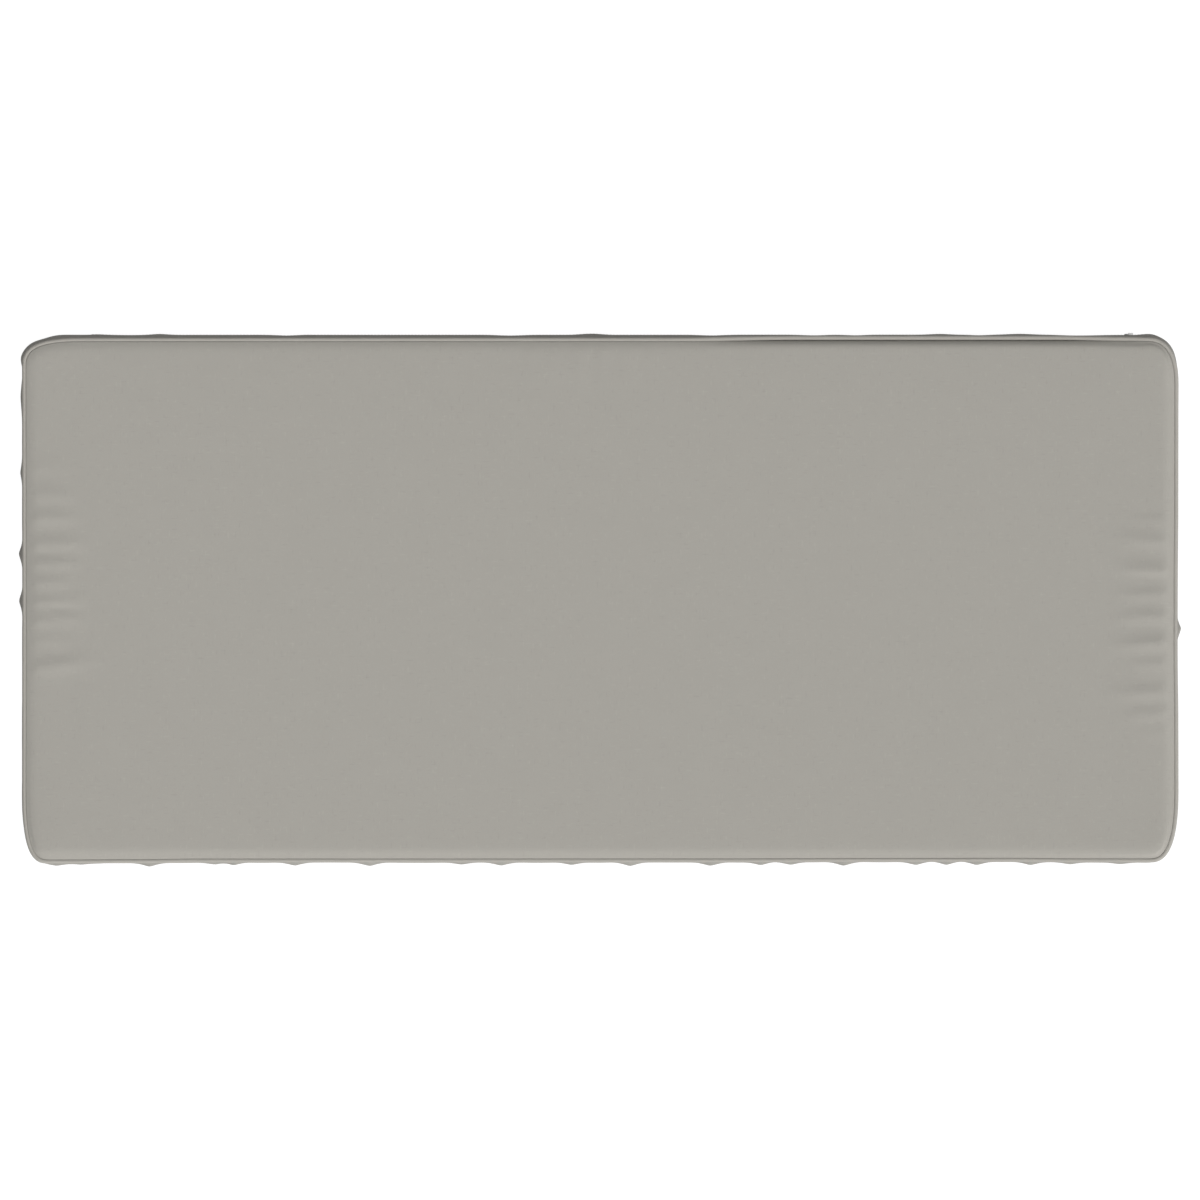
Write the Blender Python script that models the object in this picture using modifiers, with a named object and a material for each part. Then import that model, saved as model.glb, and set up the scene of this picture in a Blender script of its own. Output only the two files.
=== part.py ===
"""Bench cushion: a boxed foam pad in a sewn cloth cover, with piping in both seams
and a zip along the back.

It lies on its back on z = 0, with the origin under its middle. +X is its right end,
-Y its front, and the zip is in the back wall, towards +Y. Sizes are in metres.
"""

import math
from collections import namedtuple

import bmesh
import bpy
from mathutils import Vector

# ---------------------------------------------------------------- driving sizes
# The piping runs round the cushion on a rounded rectangle, called the seam line here.
SEAM_LEFT = -0.5465
SEAM_RIGHT = 0.5479
SEAM_FRONT = -0.2485
SEAM_BACK = 0.2462

THICKNESS = 0.075  # at the shoulder, before the crown
CROWN = 0.0015  # how much higher the middle of the top stands
SEAM_DROP = 0.0042  # from the shoulder's height to the seam, at the top
SEAM_LIFT = 0.0065  # from the floor to the seam, at the bottom
SHOULDER = 0.016  # width of the rounded rim, inside the seam line
TOP_SEAM = THICKNESS - SEAM_DROP
BOTTOM_SEAM = SEAM_LIFT
MID_WALL = (TOP_SEAM + BOTTOM_SEAM) / 2
HALF_WALL = (TOP_SEAM - BOTTOM_SEAM) / 2

WELT_RADIUS = 0.0023
CLEARANCE = 0.0003  # between pieces that touch
CHANNEL = WELT_RADIUS + 2 * CLEARANCE  # depth of the seam channel behind the welt
CHANNEL_HALF = 0.0022  # half its height at the bottom
LEAST_REACH = 0.006  # a corner of an inner ring never gets tighter than this
WALL_FULLNESS = 0.7  # under 1 the wall is fuller near its seams than a plain arch
WALL_START = 0.10  # share of the bulge and the folds right beside the welts
DRIFT_FADE = 0.1  # the seam's wandering fades out this far inside the rim

# How far the wall stands out past the seam line at half height.
WALL_BULGE = {"front": 0.0024, "right": 0.0022, "back": 0.0048, "left": 0.0027}

# The zip lies in a straight recess of the back wall.
ZIP_LEFT = -0.478
ZIP_RIGHT = 0.513
ZIP_HEIGHT = MID_WALL
RECESS_LEFT = ZIP_LEFT - 0.0005
RECESS_RIGHT = ZIP_RIGHT + 0.0005
RECESS_FLOOR = 0.2474  # its Y
RECESS_HALF_FLOOR = 0.0044
RECESS_HALF_MOUTH = 0.0050
SLIDER_X = 0.5058

# ---------------------------------------------------------------- corners and folds
# reach_x and reach_y say how far along each side a corner is rounded. square is 2 for an
# ellipse, and more for a squarer corner. bulge is what its wall stands out more than the
# sides' walls do.
Corner = namedtuple("Corner", "side_x side_y reach_x reach_y square bulge")
CORNERS = {
    "front_right": Corner(1, -1, 0.025, 0.070, 2.6, 0.0004),
    "back_right": Corner(1, 1, 0.028, 0.044, 2.5, 0.0012),
    "back_left": Corner(-1, 1, 0.060, 0.026, 2.9, 0.0026),
    "front_left": Corner(-1, -1, 0.022, 0.072, 2.8, 0.0004),
}
CORNER_COLUMNS = 9

# A fold of the wall: its place along the side, how far it stands out (a hollow is
# negative), half its width, and how far its top leans along the side past its middle.
Fold = namedtuple("Fold", "side place out half_width lean")
FOLDS = (
    Fold("front", -0.517, 0.0018, 0.011, 0.003),
    Fold("front", -0.494, 0.0010, 0.009, -0.004),
    Fold("front", -0.461, -0.0012, 0.014, 0.000),
    Fold("front", -0.429, 0.0031, 0.010, 0.002),
    Fold("front", -0.366, 0.0017, 0.009, -0.005),
    Fold("front", -0.349, 0.0025, 0.008, 0.003),
    Fold("front", -0.290, 0.0026, 0.010, 0.000),
    Fold("front", -0.254, -0.0012, 0.016, 0.002),
    Fold("front", -0.219, 0.0030, 0.010, -0.003),
    Fold("front", -0.132, 0.0016, 0.009, 0.004),
    Fold("front", -0.094, 0.0026, 0.010, 0.000),
    Fold("front", -0.027, 0.0020, 0.009, 0.003),
    Fold("front", 0.029, 0.0031, 0.010, -0.002),
    Fold("front", 0.067, -0.0012, 0.016, 0.003),
    Fold("front", 0.105, 0.0028, 0.010, 0.004),
    Fold("front", 0.153, 0.0023, 0.009, 0.000),
    Fold("front", 0.182, 0.0021, 0.009, -0.003),
    Fold("front", 0.232, 0.0032, 0.010, 0.002),
    Fold("front", 0.301, 0.0026, 0.009, -0.004),
    Fold("front", 0.330, 0.0026, 0.008, 0.000),
    Fold("front", 0.359, 0.0027, 0.009, 0.003),
    Fold("front", 0.410, 0.0026, 0.010, 0.000),
    Fold("front", 0.448, 0.0016, 0.009, -0.003),
    Fold("front", 0.495, 0.0013, 0.010, 0.004),
    Fold("right", -0.150, -0.0013, 0.020, 0.004),
    Fold("right", -0.028, 0.0038, 0.009, -0.003),
    Fold("right", 0.060, -0.0013, 0.022, 0.000),
    Fold("right", 0.150, -0.0012, 0.020, 0.003),
    Fold("right", 0.213, -0.0009, 0.012, 0.000),
    Fold("back", 0.521, 0.0016, 0.012, 0.000),
    Fold("back", 0.451, -0.0007, 0.026, 0.000),
    Fold("back", 0.399, 0.0010, 0.024, 0.000),
    Fold("back", 0.360, -0.0006, 0.010, 0.002),
    Fold("back", 0.323, 0.0009, 0.018, 0.000),
    Fold("back", 0.243, -0.0007, 0.014, 0.003),
    Fold("back", 0.204, -0.0007, 0.018, 0.000),
    Fold("back", 0.107, -0.0007, 0.020, -0.003),
    Fold("back", -0.008, 0.0013, 0.022, 0.000),
    Fold("back", -0.085, -0.0007, 0.026, 0.000),
    Fold("back", -0.298, -0.0007, 0.016, 0.002),
    Fold("back", -0.418, 0.0011, 0.016, 0.000),
    Fold("back", -0.477, 0.0009, 0.018, 0.000),
    Fold("back", -0.529, -0.0022, 0.014, 0.000),
    Fold("left", 0.227, 0.0016, 0.010, 0.000),
    Fold("left", 0.217, -0.0009, 0.009, 0.000),
    Fold("left", 0.192, 0.0013, 0.018, 0.002),
    Fold("left", 0.120, 0.0017, 0.009, 0.003),
    Fold("left", 0.043, 0.0032, 0.009, -0.002),
    Fold("left", -0.002, 0.0031, 0.009, 0.003),
    Fold("left", -0.080, -0.0010, 0.020, 0.000),
    Fold("left", -0.160, -0.0008, 0.018, 0.003),
)

# The seam line wanders a little: at each place along a side, how far it lies outside
# the straight line. Between the places it runs smoothly.
SEAM_DRIFT = {
    "front": (
        (-0.520, 0.0010), (-0.440, 0.0007), (-0.380, 0.0001), (0.100, 0.0000),
        (0.285, -0.0005), (0.390, -0.0006), (0.455, -0.0001), (0.521, 0.0000),
    ),
    "right": (
        (-0.198, 0.0000), (-0.115, -0.0002), (-0.050, -0.0008), (0.020, -0.0007),
        (0.090, -0.0002), (0.208, 0.0000),
    ),
    "back": (
        (-0.501, 0.0000), (0.065, 0.0002), (0.185, 0.0020), (0.430, 0.0020),
        (0.505, 0.0009), (0.520, 0.0004),
    ),
    "left": ((-0.202, 0.0006), (-0.020, 0.0004), (0.214, 0.0006)),
}

# Small puckers lift the rim of the top at both ends, at these places along the end.
PUCKERS = {
    "left": (0.0985, 0.077, 0.052, 0.0335, 0.015, -0.0025, -0.0205, -0.065),
    "right": (0.0545, 0.0275, 0.0036, -0.0171, -0.0425, -0.0624, -0.089, -0.1093),
}
PUCKER_LIFT = 0.0006
PUCKER_HALF_WIDTH = 0.009

# ---------------------------------------------------------------- the cover's rows
# The cover is a grid whose columns go round the seam line and whose rows climb from
# underneath to the crown. out is how far a row lies outside the seam line. The shares
# say how much of the wall's bulge, of the folds and of the puckers the row takes.
Row = namedtuple("Row", "out height zip_height bulge fold pucker recessed")


def plain_row(out, height, bulge=0.0, fold=0.0, pucker=0.0):
    return Row(out, height, height, bulge, fold, pucker, False)


def wall_row(height, zip_height, recessed=False):
    """A row of the wall, which stands out most at half height, like a barrel."""
    share = math.cos(0.5 * math.pi * (height - MID_WALL) / HALF_WALL) ** WALL_FULLNESS
    return Row(0.0, height, zip_height, share, share, 0.0, recessed)


ROWS = (
    plain_row(-SHOULDER, 0.0),
    plain_row(-0.007, 0.0005),
    plain_row(-0.0022, 0.0020),
    plain_row(-0.0006, BOTTOM_SEAM - CHANNEL + 0.0001),
    plain_row(-CHANNEL, BOTTOM_SEAM - CHANNEL_HALF),
    plain_row(-CHANNEL, BOTTOM_SEAM + CHANNEL_HALF),
    plain_row(-CLEARANCE, BOTTOM_SEAM + CHANNEL, bulge=WALL_START, fold=WALL_START),
    wall_row(0.0185, 0.0185),
    wall_row(0.0280, ZIP_HEIGHT - RECESS_HALF_MOUTH),
    wall_row(0.0347, ZIP_HEIGHT - RECESS_HALF_FLOOR, recessed=True),
    wall_row(0.0413, ZIP_HEIGHT + RECESS_HALF_FLOOR, recessed=True),
    wall_row(0.0480, ZIP_HEIGHT + RECESS_HALF_MOUTH),
    wall_row(0.0575, 0.0575),
    plain_row(-CLEARANCE, TOP_SEAM - CHANNEL, bulge=WALL_START, fold=WALL_START),
    plain_row(-CHANNEL, TOP_SEAM - CHANNEL_HALF),
    plain_row(-CHANNEL, TOP_SEAM + CHANNEL_HALF),
    plain_row(-0.0013, TOP_SEAM + WELT_RADIUS),
    plain_row(-0.0020, THICKNESS - 0.0016, pucker=0.2),
    plain_row(-0.0038, THICKNESS - 0.0010, pucker=0.4),
    plain_row(-0.0075, THICKNESS - 0.0004, pucker=0.8),
    plain_row(-SHOULDER, THICKNESS, pucker=1.0),
    plain_row(-0.042, THICKNESS + 0.4 * CROWN, pucker=0.4),
    plain_row(-0.130, THICKNESS + CROWN),
)

# ---------------------------------------------------------------- places along the sides
NORMALS = {
    "front": Vector((0, -1, 0)),
    "right": Vector((1, 0, 0)),
    "back": Vector((0, 1, 0)),
    "left": Vector((-1, 0, 0)),
}
# Going round the cushion counter-clockwise: each side, and the corner at its end.
ROUND = (
    ("front", "front_right"),
    ("right", "back_right"),
    ("back", "back_left"),
    ("left", "front_left"),
)
MOST_STEP = 0.050  # between two columns
LEAST_STEP = 0.0055

# A column: the corner that it starts from, its angle there if it is in the corner, or
# else the side that it is on, the next corner and its share of the way there.
Column = namedtuple("Column", "corner angle side next_corner share")


def corner_point(name, angle, inset):
    """A point of a corner of the ring that lies inset inside the seam line."""
    corner = CORNERS[name]
    reach_x = max(corner.reach_x - inset, LEAST_REACH)
    reach_y = max(corner.reach_y - inset, LEAST_REACH)
    edge_x = (SEAM_RIGHT if corner.side_x > 0 else SEAM_LEFT) - corner.side_x * inset
    edge_y = (SEAM_BACK if corner.side_y > 0 else SEAM_FRONT) - corner.side_y * inset
    across = max(math.cos(angle), 0.0) ** (2 / corner.square)
    along = max(math.sin(angle), 0.0) ** (2 / corner.square)
    return Vector((
        edge_x - corner.side_x * reach_x * (1 - across),
        edge_y - corner.side_y * reach_y * (1 - along),
        0.0,
    ))


def end_angle(name, side):
    """The corner's angle where it meets this side."""
    return math.pi / 2 if side in ("front", "back") else 0.0


def along(side, point):
    return point.x if side in ("front", "back") else point.y


def stations(side, start, end):
    """Places along a side: its marks, and even steps in the gaps between them."""
    low, high = sorted((start, end))
    marks = []
    for fold in FOLDS:
        if fold.side == side:
            marks += [fold.place + k * fold.half_width for k in (-1, -0.5, 0, 0.5, 1)]
    for place in PUCKERS.get(side, ()):
        marks += [place - PUCKER_HALF_WIDTH, place, place + PUCKER_HALF_WIDTH]
    kept = [low, high]
    if side == "back":
        kept += [RECESS_LEFT, RECESS_RIGHT]
        marks = [RECESS_LEFT - LEAST_STEP, RECESS_RIGHT + LEAST_STEP] + sorted(marks)
    for mark in marks:
        if low < mark < high and min(abs(mark - other) for other in kept) > 0.9 * LEAST_STEP:
            kept.append(mark)
    kept.sort()
    places = []
    for near, far in zip(kept, kept[1:]):
        steps = math.ceil((far - near) / MOST_STEP)
        places += [near + (far - near) * i / steps for i in range(steps)]
    places.append(high)
    return places if start < end else places[::-1]


def make_columns():
    columns = []
    before = "front_left"
    for side, after in ROUND:
        start = along(side, corner_point(before, end_angle(before, side), 0.0))
        end = along(side, corner_point(after, end_angle(after, side), 0.0))
        for place in stations(side, start, end):
            share = (place - start) / (end - start)
            columns.append(Column(before, None, side, after, share))
        first = end_angle(after, side)
        last = math.pi / 2 - first
        for step in range(1, CORNER_COLUMNS):
            angle = first + (last - first) * step / CORNER_COLUMNS
            columns.append(Column(after, angle, None, None, 0.0))
        before = after
    return columns


def column_point(column, inset):
    if column.side is None:
        return corner_point(column.corner, column.angle, inset)
    start = corner_point(column.corner, end_angle(column.corner, column.side), inset)
    end = corner_point(column.next_corner, end_angle(column.next_corner, column.side), inset)
    return start.lerp(end, column.share)


def column_normal(column):
    if column.side:
        return NORMALS[column.side]
    corner = CORNERS[column.corner]
    across = corner.side_x * math.cos(column.angle) / corner.reach_x
    along_y = corner.side_y * math.sin(column.angle) / corner.reach_y
    return Vector((across, along_y, 0.0)).normalized()


def column_sides(column):
    """The sides that shape a column, each with its share."""
    if column.side:
        return ((column.side, 1.0),)
    corner = CORNERS[column.corner]
    end = "right" if corner.side_x > 0 else "left"
    face = "back" if corner.side_y > 0 else "front"
    share = math.sin(column.angle) ** 2
    return ((face, share), (end, 1 - share))


def smooth_between(table, place):
    """The table's value at a place, easing in and out between its rows."""
    if place <= table[0][0]:
        return table[0][1]
    for (near, low), (far, high) in zip(table, table[1:]):
        if place <= far:
            t = (place - near) / (far - near)
            return low + (high - low) * t * t * (3 - 2 * t)
    return table[-1][1]


def hump(distance, half_width):
    """1 on a ridge, falling smoothly to 0 at half_width from it."""
    if abs(distance) >= half_width:
        return 0.0
    return math.cos(0.5 * math.pi * distance / half_width) ** 2


def seam_drift(column, point):
    return sum(
        share * smooth_between(SEAM_DRIFT[side], along(side, point))
        for side, share in column_sides(column)
    )


def wall_bulge(column, drift):
    bulge = 0.0
    for side, share in column_sides(column):
        # The back wall hangs straight behind its wandering seam.
        bulge += share * (WALL_BULGE[side] - (drift if side == "back" else 0.0))
    if column.side is None:
        bulge += CORNERS[column.corner].bulge * math.sin(2 * column.angle)
    return bulge


def fold_out(column, point, height):
    lean = (height - MID_WALL) / HALF_WALL
    return sum(
        share * fold.out * hump(along(side, point) - fold.place - fold.lean * lean, fold.half_width)
        for side, share in column_sides(column)
        for fold in FOLDS
        if fold.side == side
    )


def pucker_lift(column, point):
    if column.side not in PUCKERS:
        return 0.0
    return PUCKER_LIFT * sum(
        hump(point.y - place, PUCKER_HALF_WIDTH) for place in PUCKERS[column.side]
    )


def cover_point(column, row):
    on_seam = column_point(column, 0.0)
    drift = seam_drift(column, on_seam)
    past = LEAST_STEP / 2  # no other column is as near to the recess's end columns
    in_zip = column.side == "back" and RECESS_LEFT - past < on_seam.x < RECESS_RIGHT + past
    height = row.zip_height if in_zip else row.height
    # The drift fades out over the flat top and bottom, where the rings are far inside.
    fade = 1.0 if row.out >= -SHOULDER else max(0.0, 1 + (row.out + SHOULDER) / DRIFT_FADE)
    out = drift * fade + row.bulge * wall_bulge(column, drift)
    out += row.fold * fold_out(column, on_seam, height)
    point = column_point(column, -row.out) + out * column_normal(column)
    point.z = height + row.pucker * pucker_lift(column, on_seam)
    if in_zip and row.recessed:
        point.y = RECESS_FLOOR
    return point


# ---------------------------------------------------------------- helpers
CLOTH_COLOUR = (0.376, 0.361, 0.328)
TAPE_COLOUR = (0.30, 0.29, 0.265)
NYLON_COLOUR = (0.33, 0.32, 0.30)
METAL_COLOUR = (0.66, 0.66, 0.65)
WELD = 1e-6  # points this close are one point


def clear_scene():
    for obj in list(bpy.data.objects):
        bpy.data.objects.remove(obj, do_unlink=True)


def make_collection(name):
    collection = bpy.data.collections.new(name)
    bpy.context.scene.collection.children.link(collection)
    return collection


def make_material(name, colour, roughness, metallic=0.0):
    material = bpy.data.materials.new(name)
    material.use_nodes = True
    shader = material.node_tree.nodes["Principled BSDF"]
    shader.inputs["Base Color"].default_value = (*colour, 1.0)
    shader.inputs["Roughness"].default_value = roughness
    shader.inputs["Metallic"].default_value = metallic
    material.diffuse_color = (*colour, 1.0)
    return material


def add_object(name, data, material=None, collection=None):
    obj = bpy.data.objects.new(name, data)
    (collection or PARTS).objects.link(obj)
    if material:
        data.materials.append(material)
    return obj


def add_box(name, low, high, material=None, collection=None):
    """A box between two corners, with its own size in its mesh."""
    bm = bmesh.new()
    bmesh.ops.create_cube(bm, size=1.0)
    low, high = Vector(low), Vector(high)
    for vert in bm.verts:
        vert.co = Vector(low[i] + (vert.co[i] + 0.5) * (high[i] - low[i]) for i in range(3))
    mesh = bpy.data.meshes.new(name)
    bm.to_mesh(mesh)
    bm.free()
    return add_object(name, mesh, material, collection)


def add_bevel(obj, width, segments=2):
    bevel = obj.modifiers.new("rounded edges", "BEVEL")
    bevel.width = width
    bevel.segments = segments
    bevel.limit_method = "ANGLE"


def add_boolean(obj, other, operation):
    boolean = obj.modifiers.new(other.name, "BOOLEAN")
    boolean.operation = operation
    boolean.object = other


def add_outline(name, outlines, depth, middle):
    """A flat mesh that stands in the XZ plane: closed outlines, filled and made depth
    thick about the Y of middle. Outlines inside the first one are holes."""
    curve = bpy.data.curves.new(name, "CURVE")
    curve.dimensions = "2D"
    curve.fill_mode = "BOTH"
    curve.extrude = depth / 2
    for outline in outlines:
        spline = curve.splines.new("POLY")
        spline.points.add(len(outline) - 1)
        spline.use_cyclic_u = True
        for point, (x, z) in zip(spline.points, outline):
            point.co = (x, z, 0.0, 1.0)
    flat = add_object(name + " outline", curve)
    flat.rotation_euler = (math.pi / 2, 0.0, 0.0)
    flat.location = middle
    bpy.context.view_layer.update()
    graph = bpy.context.evaluated_depsgraph_get()
    mesh = bpy.data.meshes.new_from_object(flat.evaluated_get(graph))
    mesh.name = name
    bm = bmesh.new()
    bm.from_mesh(mesh)
    bmesh.ops.remove_doubles(bm, verts=bm.verts, dist=WELD)
    bmesh.ops.recalc_face_normals(bm, faces=bm.faces)
    bm.to_mesh(mesh)
    bm.free()
    matrix = flat.matrix_world.copy()
    bpy.data.objects.remove(flat, do_unlink=True)
    return mesh, matrix


def arc(centre_x, centre_z, radius, start, end, steps):
    """Points of an arc, with its angles in degrees."""
    turns = [math.radians(start + (end - start) * i / steps) for i in range(steps + 1)]
    return [(centre_x + radius * math.cos(a), centre_z + radius * math.sin(a)) for a in turns]


# ---------------------------------------------------------------- the pieces
def make_body(columns):
    """The filled cover: a grid wrapped round the seam line, closed under and on top."""
    bm = bmesh.new()
    count, last = len(columns), len(ROWS) - 1
    bmesh.ops.create_grid(bm, x_segments=count, y_segments=last, size=0.5)
    for vert in bm.verts:
        column = columns[round((vert.co.x + 0.5) * count) % count]
        row = ROWS[round((vert.co.y + 0.5) * last)]
        vert.co = cover_point(column, row)
    bmesh.ops.remove_doubles(bm, verts=bm.verts, dist=WELD)
    rims = [edge for edge in bm.edges if edge.is_boundary]
    ends = bmesh.ops.holes_fill(bm, edges=rims, sides=0)["faces"]
    bmesh.ops.triangulate(bm, faces=ends, ngon_method="BEAUTY")
    bmesh.ops.recalc_face_normals(bm, faces=bm.faces)
    mesh = bpy.data.meshes.new("cushion_body")
    bm.to_mesh(mesh)
    bm.free()
    mesh.shade_smooth()
    cloth = make_material("cover cloth", CLOTH_COLOUR, 0.9)
    return add_object("cushion_body", mesh, cloth)


WELT_STEP = 0.030  # between its points on the straight sides


def make_welt(name, columns, height):
    """Piping: a round cord in cloth, all the way round the seam line at this height."""
    points = []
    for column in columns:
        point = column_point(column, 0.0)
        point += seam_drift(column, point) * column_normal(column)
        if column.side and points and (points[-1] - point).length < WELT_STEP:
            if 0.0 < column.share < 1.0:
                continue
        points.append(point)
    curve = bpy.data.curves.new(name, "CURVE")
    curve.dimensions = "3D"
    curve.bevel_depth = WELT_RADIUS
    curve.bevel_resolution = 2
    spline = curve.splines.new("POLY")
    spline.points.add(len(points) - 1)
    spline.use_cyclic_u = True
    for target, point in zip(spline.points, points):
        target.co = (point.x, point.y, height, 1.0)
    cloth = make_material(name + " cloth", CLOTH_COLOUR, 0.9)
    return add_object(name, curve, cloth)


# The zip, from the recess floor outwards.
TAPE_BACK = RECESS_FLOOR + CLEARANCE
TAPE_THICKNESS = 0.0008
TAPE_HALF_WIDTH = 0.0040
COIL_BACK = TAPE_BACK + TAPE_THICKNESS + CLEARANCE
COIL_THICKNESS = 0.0012
COIL_HALF_WIDTH = 0.0025
COIL_ROUNDING = 0.0006
COIL_SHORT_LEFT = 0.003  # the coil stops this far inside the tape's ends
COIL_SHORT_RIGHT = 0.002
PLATE_BACK = COIL_BACK + COIL_THICKNESS + CLEARANCE
PLATE_THICKNESS = 0.0009
PLATE_FACE = PLATE_BACK + PLATE_THICKNESS
PULL_THICKNESS = 0.0008
BRIDGE_HEIGHT = PULL_THICKNESS + 2 * CLEARANCE
BRIDGE_THICKNESS = 0.0007
SLIDER_HALF_LENGTH = 0.0043
SLIDER_HALF_WIDTH = 0.0038
SLIDER_WAIST = 0.0031
SLIDER_CORNER = 0.0010  # how far its corners are cut off
PAST = 0.002  # a cutter reaches this far past what it cuts
BRIDGE_FOOT = 0.0014  # length of each foot along the zip
BRIDGE_HALF_WIDTH = 0.0008
EYE_RADIUS = 0.0015
EYE_RIM = 0.0012
PULL_LENGTH = 0.0210  # from the eye's centre to its tip
PULL_HALF_WIDTH = 0.0025
PULL_NECK = 0.0019
PULL_NECK_END = 0.0062  # below the eye's centre the neck widens from here
PULL_WIDE_FROM = 0.0095  # to here
PULL_TILT = 3.0  # degrees from hanging straight down, towards the left
EYE_X = SLIDER_X - 0.0024  # the bridge's left foot stands in the pull's eye


def make_zip_tape():
    cloth = make_material("zip tape cloth", TAPE_COLOUR, 0.85)
    low = (ZIP_LEFT, TAPE_BACK, ZIP_HEIGHT - TAPE_HALF_WIDTH)
    high = (ZIP_RIGHT, TAPE_BACK + TAPE_THICKNESS, ZIP_HEIGHT + TAPE_HALF_WIDTH)
    return add_box("zip_tape", low, high, cloth)


def make_zip_coil():
    nylon = make_material("zip coil nylon", NYLON_COLOUR, 0.45)
    low = (ZIP_LEFT + COIL_SHORT_LEFT, COIL_BACK, ZIP_HEIGHT - COIL_HALF_WIDTH)
    high = (ZIP_RIGHT - COIL_SHORT_RIGHT, COIL_BACK + COIL_THICKNESS, ZIP_HEIGHT + COIL_HALF_WIDTH)
    coil = add_box("zip_coil", low, high, nylon)
    add_bevel(coil, COIL_ROUNDING)
    return coil


def make_zip_slider():
    """A slider that straddles the closed coil, wide at its leading end, with a bridge."""
    metal = make_material("zip slider metal", METAL_COLOUR, 0.32, 1.0)
    length, width, waist = SLIDER_HALF_LENGTH, SLIDER_HALF_WIDTH, SLIDER_WAIST
    cut = SLIDER_CORNER
    half = [
        (-length, waist - cut), (-length + cut, waist), (-0.10 * length, waist),
        (0.45 * length, width), (length - cut, width), (length, width - cut),
    ]
    outline = half + [(x, -z) for x, z in reversed(half)]
    depth = PLATE_FACE - COIL_BACK
    middle = (SLIDER_X, (PLATE_FACE + COIL_BACK) / 2, ZIP_HEIGHT)
    mesh, matrix = add_outline("zip_slider", [outline], depth, middle)
    slider = add_object("zip_slider", mesh, metal)
    slider.matrix_world = matrix

    gap = COIL_HALF_WIDTH + CLEARANCE
    tunnel = add_box(
        "coil tunnel",
        (SLIDER_X - length - PAST, COIL_BACK - PAST, ZIP_HEIGHT - gap),
        (SLIDER_X + length + PAST, PLATE_BACK, ZIP_HEIGHT + gap),
        collection=CUTTERS,
    )
    left = EYE_X - BRIDGE_FOOT / 2
    inner = EYE_X + EYE_RADIUS + EYE_RIM + CLEARANCE
    bridge = add_box(
        "bridge",
        (left, PLATE_FACE - PLATE_THICKNESS / 2, ZIP_HEIGHT - BRIDGE_HALF_WIDTH),
        (inner + BRIDGE_FOOT, PLATE_FACE + BRIDGE_HEIGHT + BRIDGE_THICKNESS,
         ZIP_HEIGHT + BRIDGE_HALF_WIDTH),
        collection=CUTTERS,
    )
    arch = add_box(
        "arch",
        (left + BRIDGE_FOOT, PLATE_FACE, ZIP_HEIGHT - PAST),
        (inner, PLATE_FACE + BRIDGE_HEIGHT, ZIP_HEIGHT + PAST),
        collection=CUTTERS,
    )
    add_boolean(slider, tunnel, "DIFFERENCE")
    add_boolean(slider, bridge, "UNION")
    add_boolean(slider, arch, "DIFFERENCE")
    for cutter in (tunnel, bridge, arch):
        cutter.hide_render = True
        cutter.display_type = "WIRE"
    return slider


def make_zip_pull():
    """A flat tab with a round eye, hanging from the bridge and a little to the left."""
    metal = make_material("zip pull metal", METAL_COLOUR, 0.30, 1.0)
    ring = EYE_RADIUS + EYE_RIM
    tip = PULL_LENGTH - PULL_HALF_WIDTH
    outline = arc(0.0, 0.0, ring, -50, 230, 12)  # open below, where the neck leaves it
    outline += [(-PULL_NECK, -PULL_NECK_END), (-PULL_HALF_WIDTH, -PULL_WIDE_FROM)]
    outline += arc(0.0, -tip, PULL_HALF_WIDTH, 180, 360, 8)
    outline += [(PULL_HALF_WIDTH, -PULL_WIDE_FROM), (PULL_NECK, -PULL_NECK_END)]
    eye = arc(0.0, 0.0, EYE_RADIUS, 0, 330, 11)
    tilt = math.radians(-PULL_TILT)
    turned = [
        [(x * math.cos(tilt) - z * math.sin(tilt), x * math.sin(tilt) + z * math.cos(tilt))
         for x, z in points]
        for points in (outline, eye)
    ]
    middle = (EYE_X, PLATE_FACE + BRIDGE_HEIGHT / 2, ZIP_HEIGHT)
    mesh, matrix = add_outline("zip_pull", turned, PULL_THICKNESS, middle)
    pull = add_object("zip_pull", mesh, metal)
    pull.matrix_world = matrix
    return pull


clear_scene()
PARTS = make_collection("bench_cushion")
CUTTERS = make_collection("cutters")
COLUMNS = make_columns()
make_body(COLUMNS)
make_welt("welt_bottom", COLUMNS, BOTTOM_SEAM)
make_welt("welt_top", COLUMNS, TOP_SEAM)
make_zip_tape()
make_zip_coil()
make_zip_slider()
make_zip_pull()
print("columns round the cover:", len(COLUMNS), "rows:", len(ROWS))
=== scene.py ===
# %% [markdown]
# # Dressing a bench cushion
#
# The CAD part is a set of plain solids: a filled cover, two runs of piping and a zip.
# This lesson builds the cloth round them, in the same place and at the same size, so that
# it looks sewn, stuffed and used. Sizes are in metres. +X is the right end of the cushion,
# -Y its front, and the zip is in the back wall, towards +Y.

# %% Load the frame
import math
import random

import bmesh
import bpy
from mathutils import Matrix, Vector
from mathutils.bvhtree import BVHTree


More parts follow.
